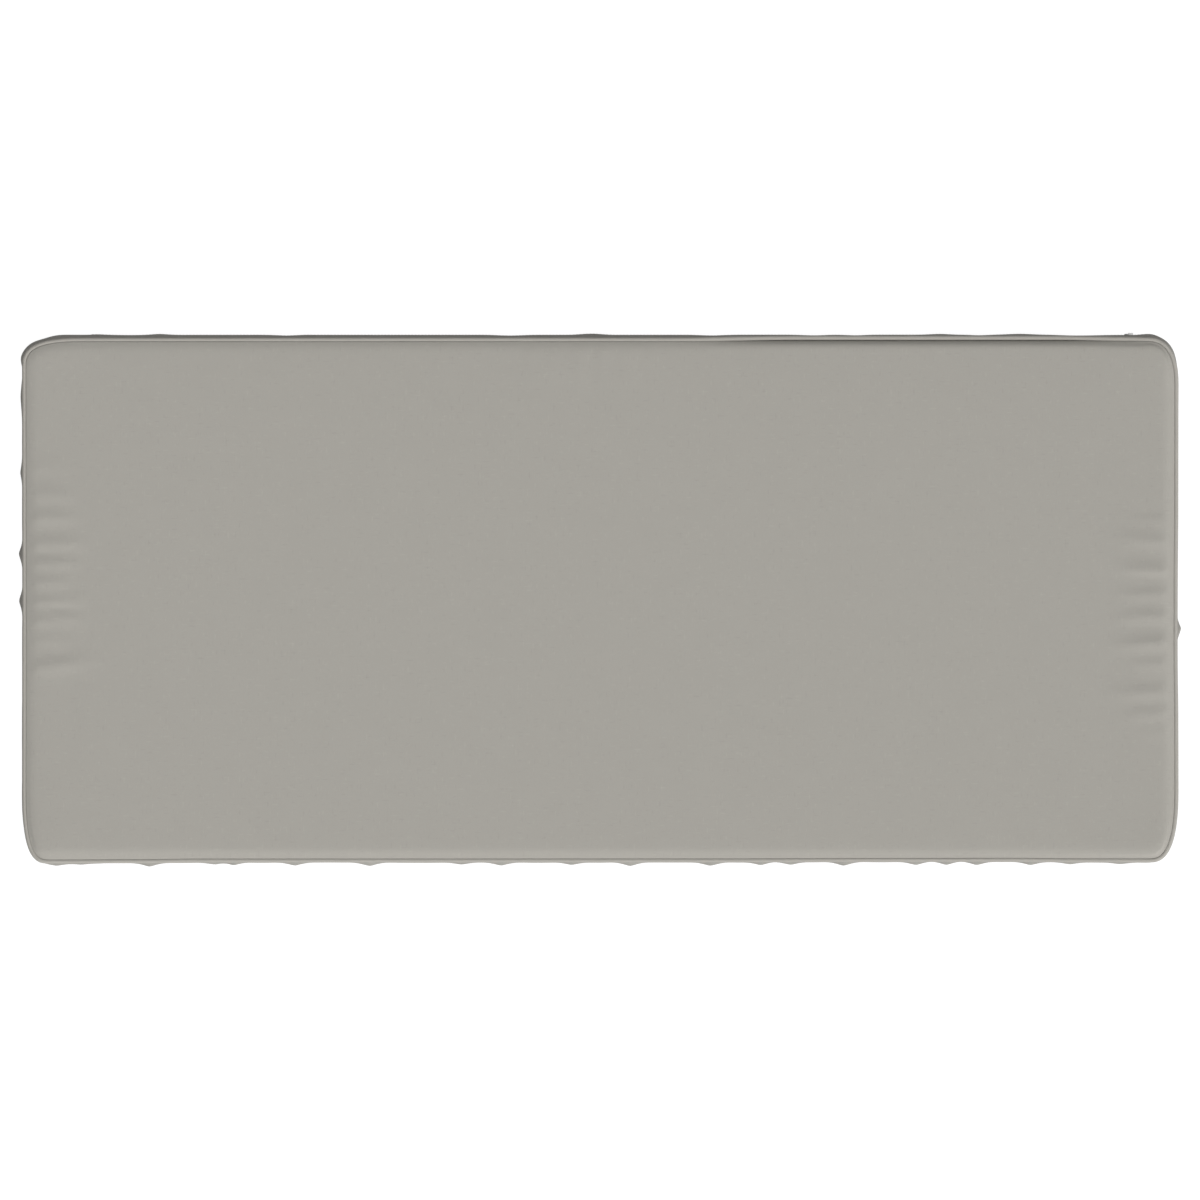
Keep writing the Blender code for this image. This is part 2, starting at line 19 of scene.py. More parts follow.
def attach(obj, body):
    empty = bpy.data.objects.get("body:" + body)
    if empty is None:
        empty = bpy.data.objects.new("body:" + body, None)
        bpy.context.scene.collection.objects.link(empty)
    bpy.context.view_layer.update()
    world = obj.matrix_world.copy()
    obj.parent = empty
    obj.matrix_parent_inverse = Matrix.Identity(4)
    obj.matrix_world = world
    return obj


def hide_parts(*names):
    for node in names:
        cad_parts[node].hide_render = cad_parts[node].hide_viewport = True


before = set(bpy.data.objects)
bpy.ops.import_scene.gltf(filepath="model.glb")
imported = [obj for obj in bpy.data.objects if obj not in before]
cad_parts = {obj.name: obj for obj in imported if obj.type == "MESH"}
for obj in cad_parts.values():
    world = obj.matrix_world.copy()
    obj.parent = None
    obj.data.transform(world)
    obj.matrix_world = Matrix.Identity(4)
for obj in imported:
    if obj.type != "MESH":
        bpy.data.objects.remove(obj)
bpy.context.view_layer.update()

# %% [markdown]
# ## The camera
#
# The photograph looks straight down on the cushion from far away, with almost no
# perspective. A very long lens high above gives the same view: its frame covers a square
# with sides of PHOTO_WIDTH at the height of the top seam.

# %% Camera
PHOTO_WIDTH = 1.1408
PHOTO_CENTRE = (0.00014, -0.00114)
LENS = 600.0  # millimetres
SENSOR = 36.0
SEEN_HEIGHT = 0.0708  # the frame has the photograph's width at this height

bpy.ops.object.select_all(action="DESELECT")
camera_height = SEEN_HEIGHT + PHOTO_WIDTH * LENS / SENSOR
bpy.ops.object.camera_add(location=(*PHOTO_CENTRE, camera_height), rotation=(0, 0, 0))
camera = bpy.context.object
camera.name = "photo_camera"
camera.data.sensor_width = SENSOR
camera.data.lens = LENS
camera.data.clip_start = 0.1
camera.data.clip_end = 100.0
bpy.context.scene.camera = camera
print("camera is", round(camera_height, 2), "m up")

# %% [markdown]
# ## Joining nodes
#
# The world, the floor and every finish are made of nodes. Most of their lines would only
# add a node and join it to the last one, so this small class does that in one call.

# %% Wiring
class Wiring:
    """Short ways to add nodes to a tree and to join them."""

    def __init__(self, tree):
        self.tree = tree

    def node(self, kind, **values):
        node = self.tree.nodes.new(kind)
        for name, value in values.items():
            setattr(node, name, value)
        return node

    def feed(self, socket, value):
        """Links a socket to another node's output, or gives it a plain value."""
        if isinstance(value, bpy.types.NodeSocket):
            self.tree.links.new(value, socket)
        else:
            socket.default_value = value

    def chain(self, kind, *amounts, **values):
        """Adds a node, feeds its first inputs and returns its first output."""
        node = self.node(kind, **values)
        for socket, amount in zip(node.inputs, amounts):
            self.feed(socket, amount)
        return node.outputs[0]

    def math(self, operation, *amounts):
        return self.chain("ShaderNodeMath", *amounts, operation=operation)

    def spread(self, value, low, high, to_low, to_high):
        """Maps low to high onto to_low to to_high, with soft ends."""
        amounts = (value, low, high, to_low, to_high)
        return self.chain("ShaderNodeMapRange", *amounts, interpolation_type="SMOOTHSTEP")

    def noise(self, vector, stretch, detail=2.0, place=(0.0, 0.0, 0.0)):
        """Noise whose grains have the sizes in stretch, in metres; place shifts it."""
        mapping = self.node("ShaderNodeMapping")
        mapping.inputs["Scale"].default_value = [1 / size for size in stretch]
        mapping.inputs["Location"].default_value = place
        self.feed(mapping.inputs["Vector"], vector)
        noise = self.node("ShaderNodeTexNoise")
        noise.inputs["Scale"].default_value = 1.0
        noise.inputs["Detail"].default_value = detail
        self.feed(noise.inputs["Vector"], mapping.outputs[0])
        return noise.outputs["Fac"]

    def two_tones(self, value, dark_at, dark, light_at, light):
        """A colour that goes from dark to light while value goes from dark_at to light_at."""
        ramp = self.node("ShaderNodeValToRGB")
        stops = ramp.color_ramp.elements
        for stop, place, colour in zip(stops, (dark_at, light_at), (dark, light)):
            stop.position = place
            stop.color = (*colour, 1.0)
        self.feed(ramp.inputs[0], value)
        return ramp.outputs[0]


# %% [markdown]
# ## Light
#
# A studio lights cloth softly, but not evenly: a large light at the front and to the
# right brightens the front and right rims, and leaves the back wall in shade. A sun lamp
# with a wide angle acts as that large light, and a plain grey world fills the shadows.
# The camera and all reflections see that world as white, so the zip's metal looks bright.

# %% Light
KEY_STRENGTH = 2.95
KEY_SOFTNESS = 80.0  # degrees
KEY_FROM = Vector((0.75, -1.10, 1.00))
FILL_STRENGTH = 0.46
WHITE = (1.0, 1.0, 1.0, 1.0)

bpy.ops.object.light_add(type="SUN", location=KEY_FROM * 3)
key_light = bpy.context.object
key_light.name = "key_light"
key_light.rotation_euler = KEY_FROM.to_track_quat("Z", "Y").to_euler()
key_light.data.energy = KEY_STRENGTH
key_light.data.angle = math.radians(KEY_SOFTNESS)

scene = bpy.context.scene
world = bpy.data.worlds.new("studio")
scene.world = world
world.use_nodes = True
world.node_tree.nodes.clear()
wire = Wiring(world.node_tree)
ray = wire.node("ShaderNodeLightPath").outputs
seen = wire.math("MAXIMUM", ray["Is Camera Ray"], ray["Is Glossy Ray"])
fill = wire.chain("ShaderNodeBackground", WHITE, FILL_STRENGTH)
backdrop = wire.chain("ShaderNodeBackground", WHITE, 1.0)
sky = wire.chain("ShaderNodeMixShader", seen, fill, backdrop)
wire.feed(wire.node("ShaderNodeOutputWorld").inputs["Surface"], sky)

scene.view_settings.view_transform = "Standard"
scene.view_settings.look = "None"
print("key light", KEY_STRENGTH, "fill", FILL_STRENGTH)

# %% [markdown]
# ## The floor
#
# The photograph's ground is plain white, with no shadow to speak of. The floor glows a
# little for the camera, so it looks white, yet a trace of shadow still grounds the
# cushion. For the light that bounces it is a dull grey, which keeps the walls dark.

# %% Floor
FLOOR_SIZE = 90.0
FLOOR_GLOW = 0.96
FLOOR_GREY = 0.15
FLOOR_HEIGHT = -0.0004  # just under the cushion, so that no two faces share a plane

bpy.ops.object.select_all(action="DESELECT")
bpy.ops.mesh.primitive_plane_add(size=FLOOR_SIZE, location=(0, 0, FLOOR_HEIGHT))
floor = bpy.context.object
floor.name = "floor"
floor_paint = bpy.data.materials.new("floor paint")
floor_paint.use_nodes = True
floor_paint.node_tree.nodes.clear()
wire = Wiring(floor_paint.node_tree)
ray = wire.node("ShaderNodeLightPath").outputs
dull = wire.chain("ShaderNodeBsdfDiffuse", (FLOOR_GREY, FLOOR_GREY, FLOOR_GREY, 1.0))
glow = wire.chain("ShaderNodeEmission", WHITE, FLOOR_GLOW)
both = wire.chain("ShaderNodeAddShader", dull, glow)
paint = wire.chain("ShaderNodeMixShader", ray["Is Camera Ray"], dull, both)
wire.feed(wire.node("ShaderNodeOutputMaterial").inputs["Surface"], paint)
floor.data.materials.append(floor_paint)
print("floor is", FLOOR_SIZE, "m wide")

# %% [markdown]
# ## The seam line
#
# A boxed cushion is a top panel, a bottom panel and a wall between them, the boxing. The
# piping runs in both seams, round a rectangle with soft corners. Everything else hangs on
# this line, so it comes first. Each corner has its own rounding, as in real sewing, and
# the line wanders by a millimetre or two.

# %% Seam line
SEAM_LEFT = -0.5465
SEAM_RIGHT = 0.5479
SEAM_FRONT = -0.2485
SEAM_BACK = 0.2462
LEAST_REACH = 0.006  # a corner of an inner ring never gets tighter than this
CORNER_COLUMNS = 14

# side_x, side_y, how far it reaches along each side, how square it is (2 is an ellipse),
# how much fuller its wall is than the walls beside it
CORNERS = {
    "front_right": (1, -1, 0.025, 0.070, 2.6, 0.0004),
    "back_right": (1, 1, 0.028, 0.044, 2.5, 0.0012),
    "back_left": (-1, 1, 0.060, 0.026, 2.9, 0.0026),
    "front_left": (-1, -1, 0.022, 0.072, 2.8, 0.0004),
}
ROUND = (
    ("front", "front_right"),
    ("right", "back_right"),
    ("back", "back_left"),
    ("left", "front_left"),
)
OUTWARD = {
    "front": Vector((0, -1, 0)),
    "right": Vector((1, 0, 0)),
    "back": Vector((0, 1, 0)),
    "left": Vector((-1, 0, 0)),
}
# At each place along a side, how far the seam lies outside the straight line.
SEAM_DRIFT = {
    "front": (
        (-0.520, 0.0010), (-0.440, 0.0007), (-0.380, 0.0001), (0.100, 0.0000),
        (0.285, -0.0005), (0.390, -0.0006), (0.455, -0.0001), (0.521, 0.0000),
    ),
    "right": (
        (-0.198, 0.0000), (-0.115, -0.0002), (-0.050, -0.0008), (0.020, -0.0007),
        (0.090, -0.0002), (0.208, 0.0000),
    ),
    "back": (
        (-0.501, 0.0000), (0.065, 0.0002), (0.185, 0.0020), (0.430, 0.0020),
        (0.505, 0.0009), (0.520, 0.0004),
    ),
    "left": ((-0.202, 0.0006), (-0.020, 0.0004), (0.214, 0.0006)),
}


def ease(value):
    """Clamps a value to 0 to 1, and makes it start and stop gently."""
    t = min(max(value, 0.0), 1.0)
    return t * t * (3 - 2 * t)


def smooth_between(table, place):
    """The table's value at a place, easing in and out between its rows."""
    if place <= table[0][0]:
        return table[0][1]
    for (near, low), (far, high) in zip(table, table[1:]):
        if place <= far:
            return low + (high - low) * ease((place - near) / (far - near))
    return table[-1][1]


def corner_point(name, angle, inset):
    """A point of a corner of the ring that lies inset inside the seam line."""
    side_x, side_y, reach_x, reach_y, square, _ = CORNERS[name]
    reach_x = max(reach_x - inset, LEAST_REACH)
    reach_y = max(reach_y - inset, LEAST_REACH)
    edge_x = (SEAM_RIGHT if side_x > 0 else SEAM_LEFT) - side_x * inset
    edge_y = (SEAM_BACK if side_y > 0 else SEAM_FRONT) - side_y * inset
    across = max(math.cos(angle), 0.0) ** (2 / square)
    up = max(math.sin(angle), 0.0) ** (2 / square)
    x = edge_x - side_x * reach_x * (1 - across)
    y = edge_y - side_y * reach_y * (1 - up)
    return Vector((x, y, 0.0))


def end_angle(side):
    """A corner's angle where it meets this side."""
    return math.pi / 2 if side in ("front", "back") else 0.0


def along(side, point):
    """A point's place along this side."""
    return point.x if side in ("front", "back") else point.y


seam_size = (SEAM_RIGHT - SEAM_LEFT, SEAM_BACK - SEAM_FRONT)
print("sewn size:", [round(1000 * length, 1) for length in seam_size], "mm")

# %% [markdown]
# ## Where the cloth folds
#
# The photograph shows small pointed folds in the walls, which stand out past the piping,
# and rows of puckers at both ends of the top, where the thread has drawn the cloth up.
# Each one gets its place, so that the cloth gathers where it does in the photograph.

# %% Folds and puckers
# For each side: place along it, how far the fold stands out, half its width, how far its
# top leans.
FOLDS = {
    "front": (
        (-0.517, 0.0018, 0.011, 0.003), (-0.494, 0.0010, 0.009, -0.004),
        (-0.461, -0.0012, 0.014, 0.000), (-0.429, 0.0031, 0.010, 0.002),
        (-0.366, 0.0017, 0.009, -0.005), (-0.349, 0.0025, 0.008, 0.003),
        (-0.290, 0.0026, 0.010, 0.000), (-0.254, -0.0012, 0.016, 0.002),
        (-0.219, 0.0030, 0.010, -0.003), (-0.132, 0.0016, 0.009, 0.004),
        (-0.094, 0.0026, 0.010, 0.000), (-0.027, 0.0020, 0.009, 0.003),
        (0.029, 0.0031, 0.010, -0.002), (0.067, -0.0012, 0.016, 0.003),
        (0.105, 0.0028, 0.010, 0.004), (0.153, 0.0023, 0.009, 0.000),
        (0.182, 0.0021, 0.009, -0.003), (0.232, 0.0032, 0.010, 0.002),
        (0.301, 0.0026, 0.009, -0.004), (0.330, 0.0026, 0.008, 0.000),
        (0.359, 0.0027, 0.009, 0.003), (0.410, 0.0026, 0.010, 0.000),
        (0.448, 0.0016, 0.009, -0.003), (0.495, 0.0013, 0.010, 0.004),
    ),
    "right": (
        (-0.150, -0.0013, 0.020, 0.004), (-0.028, 0.0038, 0.009, -0.003),
        (0.060, -0.0013, 0.022, 0.000), (0.150, -0.0012, 0.020, 0.003),
        (0.213, -0.0009, 0.012, 0.000),
    ),
    "back": (
        (0.521, 0.0016, 0.012, 0.000), (0.451, -0.0007, 0.026, 0.000),
        (0.399, 0.0010, 0.024, 0.000), (0.360, -0.0006, 0.010, 0.002),
        (0.323, 0.0009, 0.018, 0.000), (0.243, -0.0007, 0.014, 0.003),
        (0.204, -0.0007, 0.018, 0.000), (0.107, -0.0007, 0.020, -0.003),
        (-0.008, 0.0013, 0.022, 0.000), (-0.085, -0.0007, 0.026, 0.000),
        (-0.298, -0.0007, 0.016, 0.002), (-0.418, 0.0011, 0.016, 0.000),
        (-0.477, 0.0009, 0.018, 0.000), (-0.529, -0.0022, 0.014, 0.000),
    ),
    "left": (
        (0.227, 0.0016, 0.010, 0.000), (0.217, -0.0009, 0.009, 0.000),
        (0.192, 0.0013, 0.018, 0.002), (0.120, 0.0017, 0.009, 0.003),
        (0.043, 0.0032, 0.009, -0.002), (-0.002, 0.0031, 0.009, 0.003),
        (-0.080, -0.0010, 0.020, 0.000), (-0.160, -0.0008, 0.018, 0.003),
    ),
}
# For each side: place along it, lift, length away from the seam, slant.
PUCKERS = {
    "left": (
        (0.1260, 0.00079, 0.042, 0.00), (0.0985, 0.00132, 0.040, -0.05),
        (0.0770, 0.00195, 0.044, -0.04), (0.0520, 0.00164, 0.050, 0.03),
        (0.0335, 0.00174, 0.044, -0.03), (0.0150, 0.00183, 0.040, 0.00),
        (-0.0025, 0.00158, 0.052, 0.05), (-0.0205, 0.00195, 0.048, 0.04),
        (-0.0395, 0.00110, 0.040, 0.00), (-0.0650, 0.00189, 0.056, 0.12),
    ),
    "right": (
        (0.0740, 0.00079, 0.040, 0.00), (0.0545, 0.00183, 0.046, 0.10),
        (0.0275, 0.00174, 0.050, 0.04), (0.0036, 0.00141, 0.046, 0.00),
        (-0.0171, 0.00189, 0.050, -0.03), (-0.0425, 0.00215, 0.050, -0.06),
        (-0.0624, 0.00126, 0.040, -0.04), (-0.0890, 0.00174, 0.052, -0.05),
        (-0.1093, 0.00141, 0.044, -0.10), (-0.1280, 0.00069, 0.036, 0.00),
    ),
    "back": (
        (-0.0660, 0.00055, 0.040, 0.00), (-0.0430, 0.00065, 0.036, 0.00),
        (-0.0200, 0.00055, 0.042, 0.00), (0.0040, 0.00060, 0.038, 0.00),
        (0.0260, 0.00065, 0.040, 0.00), (0.0470, 0.00049, 0.036, 0.00),
    ),
}
PUCKER_HALF_WIDTH = 0.0085
print(sum(map(len, FOLDS.values())), "folds and", sum(map(len, PUCKERS.values())), "puckers")

# %% [markdown]
# ## Columns round the cover
#
# The cover is one net of four-sided faces. Its columns go round the seam line, a few
# millimetres apart, with one on the crest of each fold and pucker and one on each flank
# of a fold that stands out. Opposite sides have the same number of columns, so that a
# regular grid can close the top later.

# %% Columns
LONG_STEP = 0.0080  # two columns on a side are at most this far apart
LEAST_STEP = 0.0030  # and at least this far, apart from those that even out the count
FLANK_STEP = 0.0036  # from a fold's crest to the column on its flank
ZIP_LEFT = -0.478
ZIP_RIGHT = 0.513
ZIP_HEIGHT = 0.03865
RECESS_SPARE = 0.0005  # the recess is this much longer than the zip's tape, at each end
RECESS_LEFT = ZIP_LEFT - RECESS_SPARE
RECESS_RIGHT = ZIP_RIGHT + RECESS_SPARE
RECESS_END = 0.004  # the recess closes over this length, past each of its ends


def side_places(side, low, high):
    """Places along a side, with one on each crest and none too close to another."""
    marks = [place for place, *_ in FOLDS[side] + PUCKERS.get(side, ())]
    for place, stands, *_ in FOLDS[side]:
        if stands > 0:
            marks += [place - FLANK_STEP, place + FLANK_STEP]
    if side == "back":
        marks += [RECESS_LEFT - RECESS_END, RECESS_LEFT]
        marks += [RECESS_RIGHT, RECESS_RIGHT + RECESS_END]
    kept = [low]
    for mark in sorted(marks):
        if mark - kept[-1] >= LEAST_STEP and high - mark >= LEAST_STEP:
            kept.append(mark)
    kept.append(high)
    places = []
    for near, far in zip(kept, kept[1:]):
        steps = math.ceil((far - near) / LONG_STEP)
        places += [near + (far - near) * i / steps for i in range(steps)]
    return places + [high]


def fill_up(places, count):
    """Splits the widest gaps until there are count places."""
    places = list(places)
    while len(places) < count:
        gap = max(range(len(places) - 1), key=lambda i: places[i + 1] - places[i])
        places.insert(gap + 1, (places[gap] + places[gap + 1]) / 2)
    return places


ENDS = {}
before = "front_left"
for side, after in ROUND:
    ENDS[side] = (
        before, after,
        along(side, corner_point(before, end_angle(side), 0.0)),
        along(side, corner_point(after, end_angle(side), 0.0)),
    )
    before = after
PLACES = {side: side_places(side, *sorted(ends[2:])) for side, ends in ENDS.items()}
for one, other in (("front", "back"), ("left", "right")):
    count = max(len(PLACES[one]), len(PLACES[other]))
    PLACES[one], PLACES[other] = fill_up(PLACES[one], count), fill_up(PLACES[other], count)

# A column is (side, share of the way along it) or (corner, angle in it).
COLUMNS = []
for side, after in ROUND:
    first, last = ENDS[side][2:]
    places = PLACES[side] if first < last else PLACES[side][::-1]
    COLUMNS += [(side, (place - first) / (last - first)) for place in places]
    turn = end_angle(side)
    for step in range(1, CORNER_COLUMNS):
        angle = turn + (math.pi / 2 - 2 * turn) * step / CORNER_COLUMNS
        COLUMNS.append((after, angle))
COUNT = len(COLUMNS)
print(COUNT, "columns,", len(PLACES["front"]), "on a long side,", len(PLACES["left"]), "on an end")

# %% [markdown]
# ## What a column tells
#
# A column gives its point on any ring inside the seam line, the direction that leads out
# of the cushion, and the sides that shape it: at a corner two sides blend. From these
# follow how far the seam wanders there, and how far it has slipped at the back.

# %% Ask a column
def column_point(column, inset):
    """Where this column meets the ring that lies inset inside the seam line."""
    name, where = column
    if name in CORNERS:
        return corner_point(name, where, inset)
    start, end = (corner_point(corner, end_angle(name), inset) for corner in ENDS[name][:2])
    return start.lerp(end, where)


def column_outward(column):
    """The level direction that points out of the cushion at this column."""
    name, where = column
    if name not in CORNERS:
        return OUTWARD[name]
    side_x, side_y, reach_x, reach_y = CORNERS[name][:4]
    across = side_x * math.cos(where) / reach_x
    return Vector((across, side_y * math.sin(where) / reach_y, 0.0)).normalized()


def column_sides(column):
    """The sides that shape a column, each with its share."""
    name, where = column
    if name not in CORNERS:
        return ((name, 1.0),)
    side_x, side_y = CORNERS[name][:2]
    share = math.sin(where) ** 2
    face, end = "back" if side_y > 0 else "front", "right" if side_x > 0 else "left"
    return ((face, share), (end, 1 - share))


def seam_drift(column, point):
    """How far the seam lies outside its plain line here."""
    return sum(
        share * smooth_between(SEAM_DRIFT[side], along(side, point))
        for side, share in column_sides(column)
    )


def back_slip(column, point):
    """How far the back seam has slipped outwards here."""
    share = dict(column_sides(column)).get("back", 0.0)
    return share * max(smooth_between(SEAM_DRIFT["back"], point.x), 0.0)


# %% [markdown]
# ## Rows up the cover
#
# The rows climb from underneath, over the bottom rim, into the bottom seam, up the wall,
# into the top seam and over the shoulder. At a seam the cloth turns inwards behind the
# piping: that narrow channel is what makes a sewn edge look sewn. On the back wall the
# rows crowd together at the zip and form its recess with two rounded lips. Where the
# back seam has slipped outwards, its piping and the edge of the panel hang lower.

# %% Rows
TOP_SEAM = 0.0708
BOTTOM_SEAM = 0.0065
MID_WALL = (TOP_SEAM + BOTTOM_SEAM) / 2
HALF_WALL = (TOP_SEAM - BOTTOM_SEAM) / 2
WALL_BULGE = {"front": 0.0024, "right": 0.0022, "back": 0.0048, "left": 0.0027}
WALL_FULLNESS = 0.7  # under 1, the bulge starts more steeply at the seams
BACK_STARTS = 0.2  # all points of the back wall lie behind this
RECESS_FLOOR = 0.2474
LIP_REACH = 0.022  # past the recess, the rows spread out again over this length
SHOULDER = 0.016  # the rounded edge of a panel ends this far inside the seam line
DRIFT_FADE = 0.1  # further in, the seam's wandering dies away over this length
SAG = 0.8  # the slipped back seam hangs lower by this share of its slip
SLACK = 0.7  # and the panel's edge there hangs lower by this share more
PANEL_EDGE = -0.002  # the panel's edge beside the piping, outside the seam line
SLACK_WIDTH = 0.0068  # how far in from that edge the panel hangs
SLACK_RISE = 0.002  # the slack sets in over this height above the seam

# For the bottom panel's edge and its seam: how far outside the seam line, and how high.
BOTTOM_ROWS = (
    (-0.030, 0.0), (-0.0225, 0.0), (-0.0165, 0.0), (-0.0118, 0.0001), (-0.0082, 0.0004),
    (-0.0052, 0.0010), (-0.0030, 0.0019), (-0.0015, 0.0030), (-0.0008, 0.0040),
    (-0.0010, 0.0045), (-0.0027, 0.0048), (-0.0031, 0.0065), (-0.0027, 0.0082),
    (-0.0008, 0.0088),
)
# For the wall: its plain height, its height where the zip is, and how far it is drawn
# back to the floor of the recess there.
WALL_ROWS = (
    (0.0097, 0.0097, 0), (0.0118, 0.0116, 0), (0.0153, 0.0149, 0), (0.0193, 0.0188, 0),
    (0.0235, 0.0228, 0), (0.0274, 0.0267, 0), (0.0306, 0.0302, 0), (0.0331, 0.0329, 0.0),
    (0.0351, 0.0336, 0.14), (0.0365, 0.0339, 0.55), (0.0376, 0.0342, 1), (0.03865, 0.03865, 1),
    (0.0397, 0.0431, 1), (0.0408, 0.0434, 0.55), (0.0422, 0.0437, 0.14), (0.0442, 0.0444, 0.0),
    (0.0467, 0.0471, 0), (0.0499, 0.0506, 0), (0.0538, 0.0545, 0), (0.0580, 0.0585, 0),
    (0.0620, 0.0623, 0), (0.0654, 0.0656, 0), (0.0676, 0.0676, 0),
)
# For the top seam and the top panel's edge, as for the bottom.
TOP_ROWS = (
    (-0.0008, 0.0685), (-0.0027, 0.0690), (-0.0032, 0.0708), (-0.0028, 0.0721),
    (-0.0020, 0.0724), (-0.0016, 0.0727), (-0.0017, 0.07295), (-0.0021, 0.07315),
    (-0.0028, 0.0734), (-0.0038, 0.0737), (-0.0051, 0.07402), (-0.0068, 0.07437),
    (-0.0090, 0.0747), (-0.0122, 0.07492), (-0.0165, 0.0750), (-0.0225, 0.0750),
    (-0.030, 0.0750),
)
ROWS = len(BOTTOM_ROWS) + len(WALL_ROWS) + len(TOP_ROWS)
print(ROWS, "rows, which makes", COUNT * (ROWS - 1), "faces round the cover")

# %% [markdown]
# ## Points of the wall and the rims
#
# Each row meets each column in one point. On the wall it lies outside the seam line by
# the bulge and by the folds: a fold that stands out is pinched to a crest, with a shallow
# dip on each side of it, and the others are smooth waves.

# %% Place the points
CREST_ROUND = 0.04  # how round a pinched crest is; 0 is sharp
FLANK_CURVE = 1.5  # over 1, a fold's flanks run out hollow
PEAK_HEIGHT, PEAK_WIDTH = 1.4, 1.5  # a pinched fold's crest, as shares of the fold's size
DIP_DEPTH, DIP_WIDTH = 0.3, 3  # and the shallow dip round that crest


def hump(distance, half_width):
    """1 on a ridge, falling smoothly to 0 at half_width from it."""
    if abs(distance) >= half_width:
        return 0.0
    return math.cos(0.5 * math.pi * distance / half_width) ** 2


def tent(distance, half_width):
    """1 on a narrow crest, falling along hollow flanks to 0 at half_width from it."""
    t = math.hypot(distance / half_width, CREST_ROUND) - CREST_ROUND
    return max(1 - t, 0.0) ** FLANK_CURVE


def fold_out(column, point, height):
    """How far the folds push the wall out here."""
    lean_share = (height - MID_WALL) / HALF_WALL
    out = 0.0
    for side, share in column_sides(column):
        for place, stands, half_width, lean in FOLDS[side]:
            away = along(side, point) - place - lean * lean_share
            if stands > 0 and side != "back":
                peak = PEAK_HEIGHT * tent(away, PEAK_WIDTH * half_width)
                shape = peak - DIP_DEPTH * hump(away, DIP_WIDTH * half_width)
            else:
                shape = hump(away, half_width)
            out += share * stands * shape
    return out


def wall_bulge(column, drift):
    """How far the filling pushes the middle of the wall out at this column."""
    bulge = 0.0
    for side, share in column_sides(column):
        # The back wall hangs straight behind its wandering seam.
        bulge += share * (WALL_BULGE[side] - (drift if side == "back" else 0.0))
    if column[0] in CORNERS:
        bulge += CORNERS[column[0]][5] * math.sin(2 * column[1])
    return bulge


def past_recess(point):
    """How far a point of the back lies past the recess's nearer end."""
    return max(RECESS_LEFT - point.x, point.x - RECESS_RIGHT)


def zip_share(point):
    """1 where the zip is, easing to 0 past its ends."""
    return 0.0 if point.y < BACK_STARTS else ease(1 - past_recess(point) / LIP_REACH)


def recess_share(point):
    """1 along the recess, falling to 0 past its ends."""
    past = past_recess(point)
    if point.y < BACK_STARTS or past > RECESS_END:
        return 0.0
    return 1.0 if past < 1e-6 else 1 - past / RECESS_END


def wall_point(column, plain, at_zip, drawn_back):
    """A column's point in a row of the wall; the row is given as in WALL_ROWS."""
    on_seam = column_point(column, 0.0)
    drift = seam_drift(column, on_seam)
    height = plain + (at_zip - plain) * zip_share(on_seam)
    share = math.cos(0.5 * math.pi * (height - MID_WALL) / HALF_WALL) ** WALL_FULLNESS
    out = drift + share * (wall_bulge(column, drift) + fold_out(column, on_seam, height))
    point = on_seam + out * column_outward(column)
    up = max((height - MID_WALL) / HALF_WALL, 0.0)
    point.z = height - SAG * back_slip(column, on_seam) * up
    point.y += drawn_back * recess_share(on_seam) * (RECESS_FLOOR - point.y)
    return point


def rim_point(column, out, height):
    """A column's point in a row of a panel's edge; the row is given as in TOP_ROWS."""
    on_seam = column_point(column, 0.0)
    drift = seam_drift(column, on_seam)
    fade = 1.0 if out >= -SHOULDER else max(0.0, 1 + (out + SHOULDER) / DRIFT_FADE)
    slip = 0.0
    if height > MID_WALL:
        inside = min(max((PANEL_EDGE - out) / SLACK_WIDTH, 0.0), 1.0)
        slip = back_slip(column, on_seam) * (1 - inside) ** 2
    slack = SLACK * slip * ease((height - TOP_SEAM) / SLACK_RISE)
    point = column_point(column, slack - out) + drift * fade * column_outward(column)
    point.z = height - SAG * slip - slack
    return point


# %% [markdown]
# ## The crown and the puckers of the top
#
# Foam under cloth gives an almost flat top: it rises by a millimetre or two inside the
# rim, and the right and front rims are a little fuller than the others. The puckers are
# low ridges that start just inside the piping and die away after four or five
# centimetres.

# %% Height of the top
CROWN = 0.0015
CROWN_REACH = 0.05  # the top rises over about this length inside the rim
RIM_RISE = {"front": 0.0007, "right": 0.0014, "back": 0.0, "left": 0.0001}
RIM_START, RIM_EASE = 0.0025, 0.009  # from the seam line: where this rise sets in
RIM_TOP, RIM_REACH = 0.012, 0.05  # and from where, and how slowly, it dies away
PUCKER_START, PUCKER_EASE = 0.004, 0.011  # where a pucker starts, and how soon it is full
PUCKER_HOLD, PUCKER_FADE = 0.55, 0.85  # it stays so, and then fades: shares of its length
SLANT_FROM = 0.020  # a slanting pucker has its own place at this depth


def crown_share(distance):
    """The crown's share of its height at this distance from the seam line."""
    return max(0.0, 1 - math.exp(-(distance - SHOULDER) / CROWN_REACH))


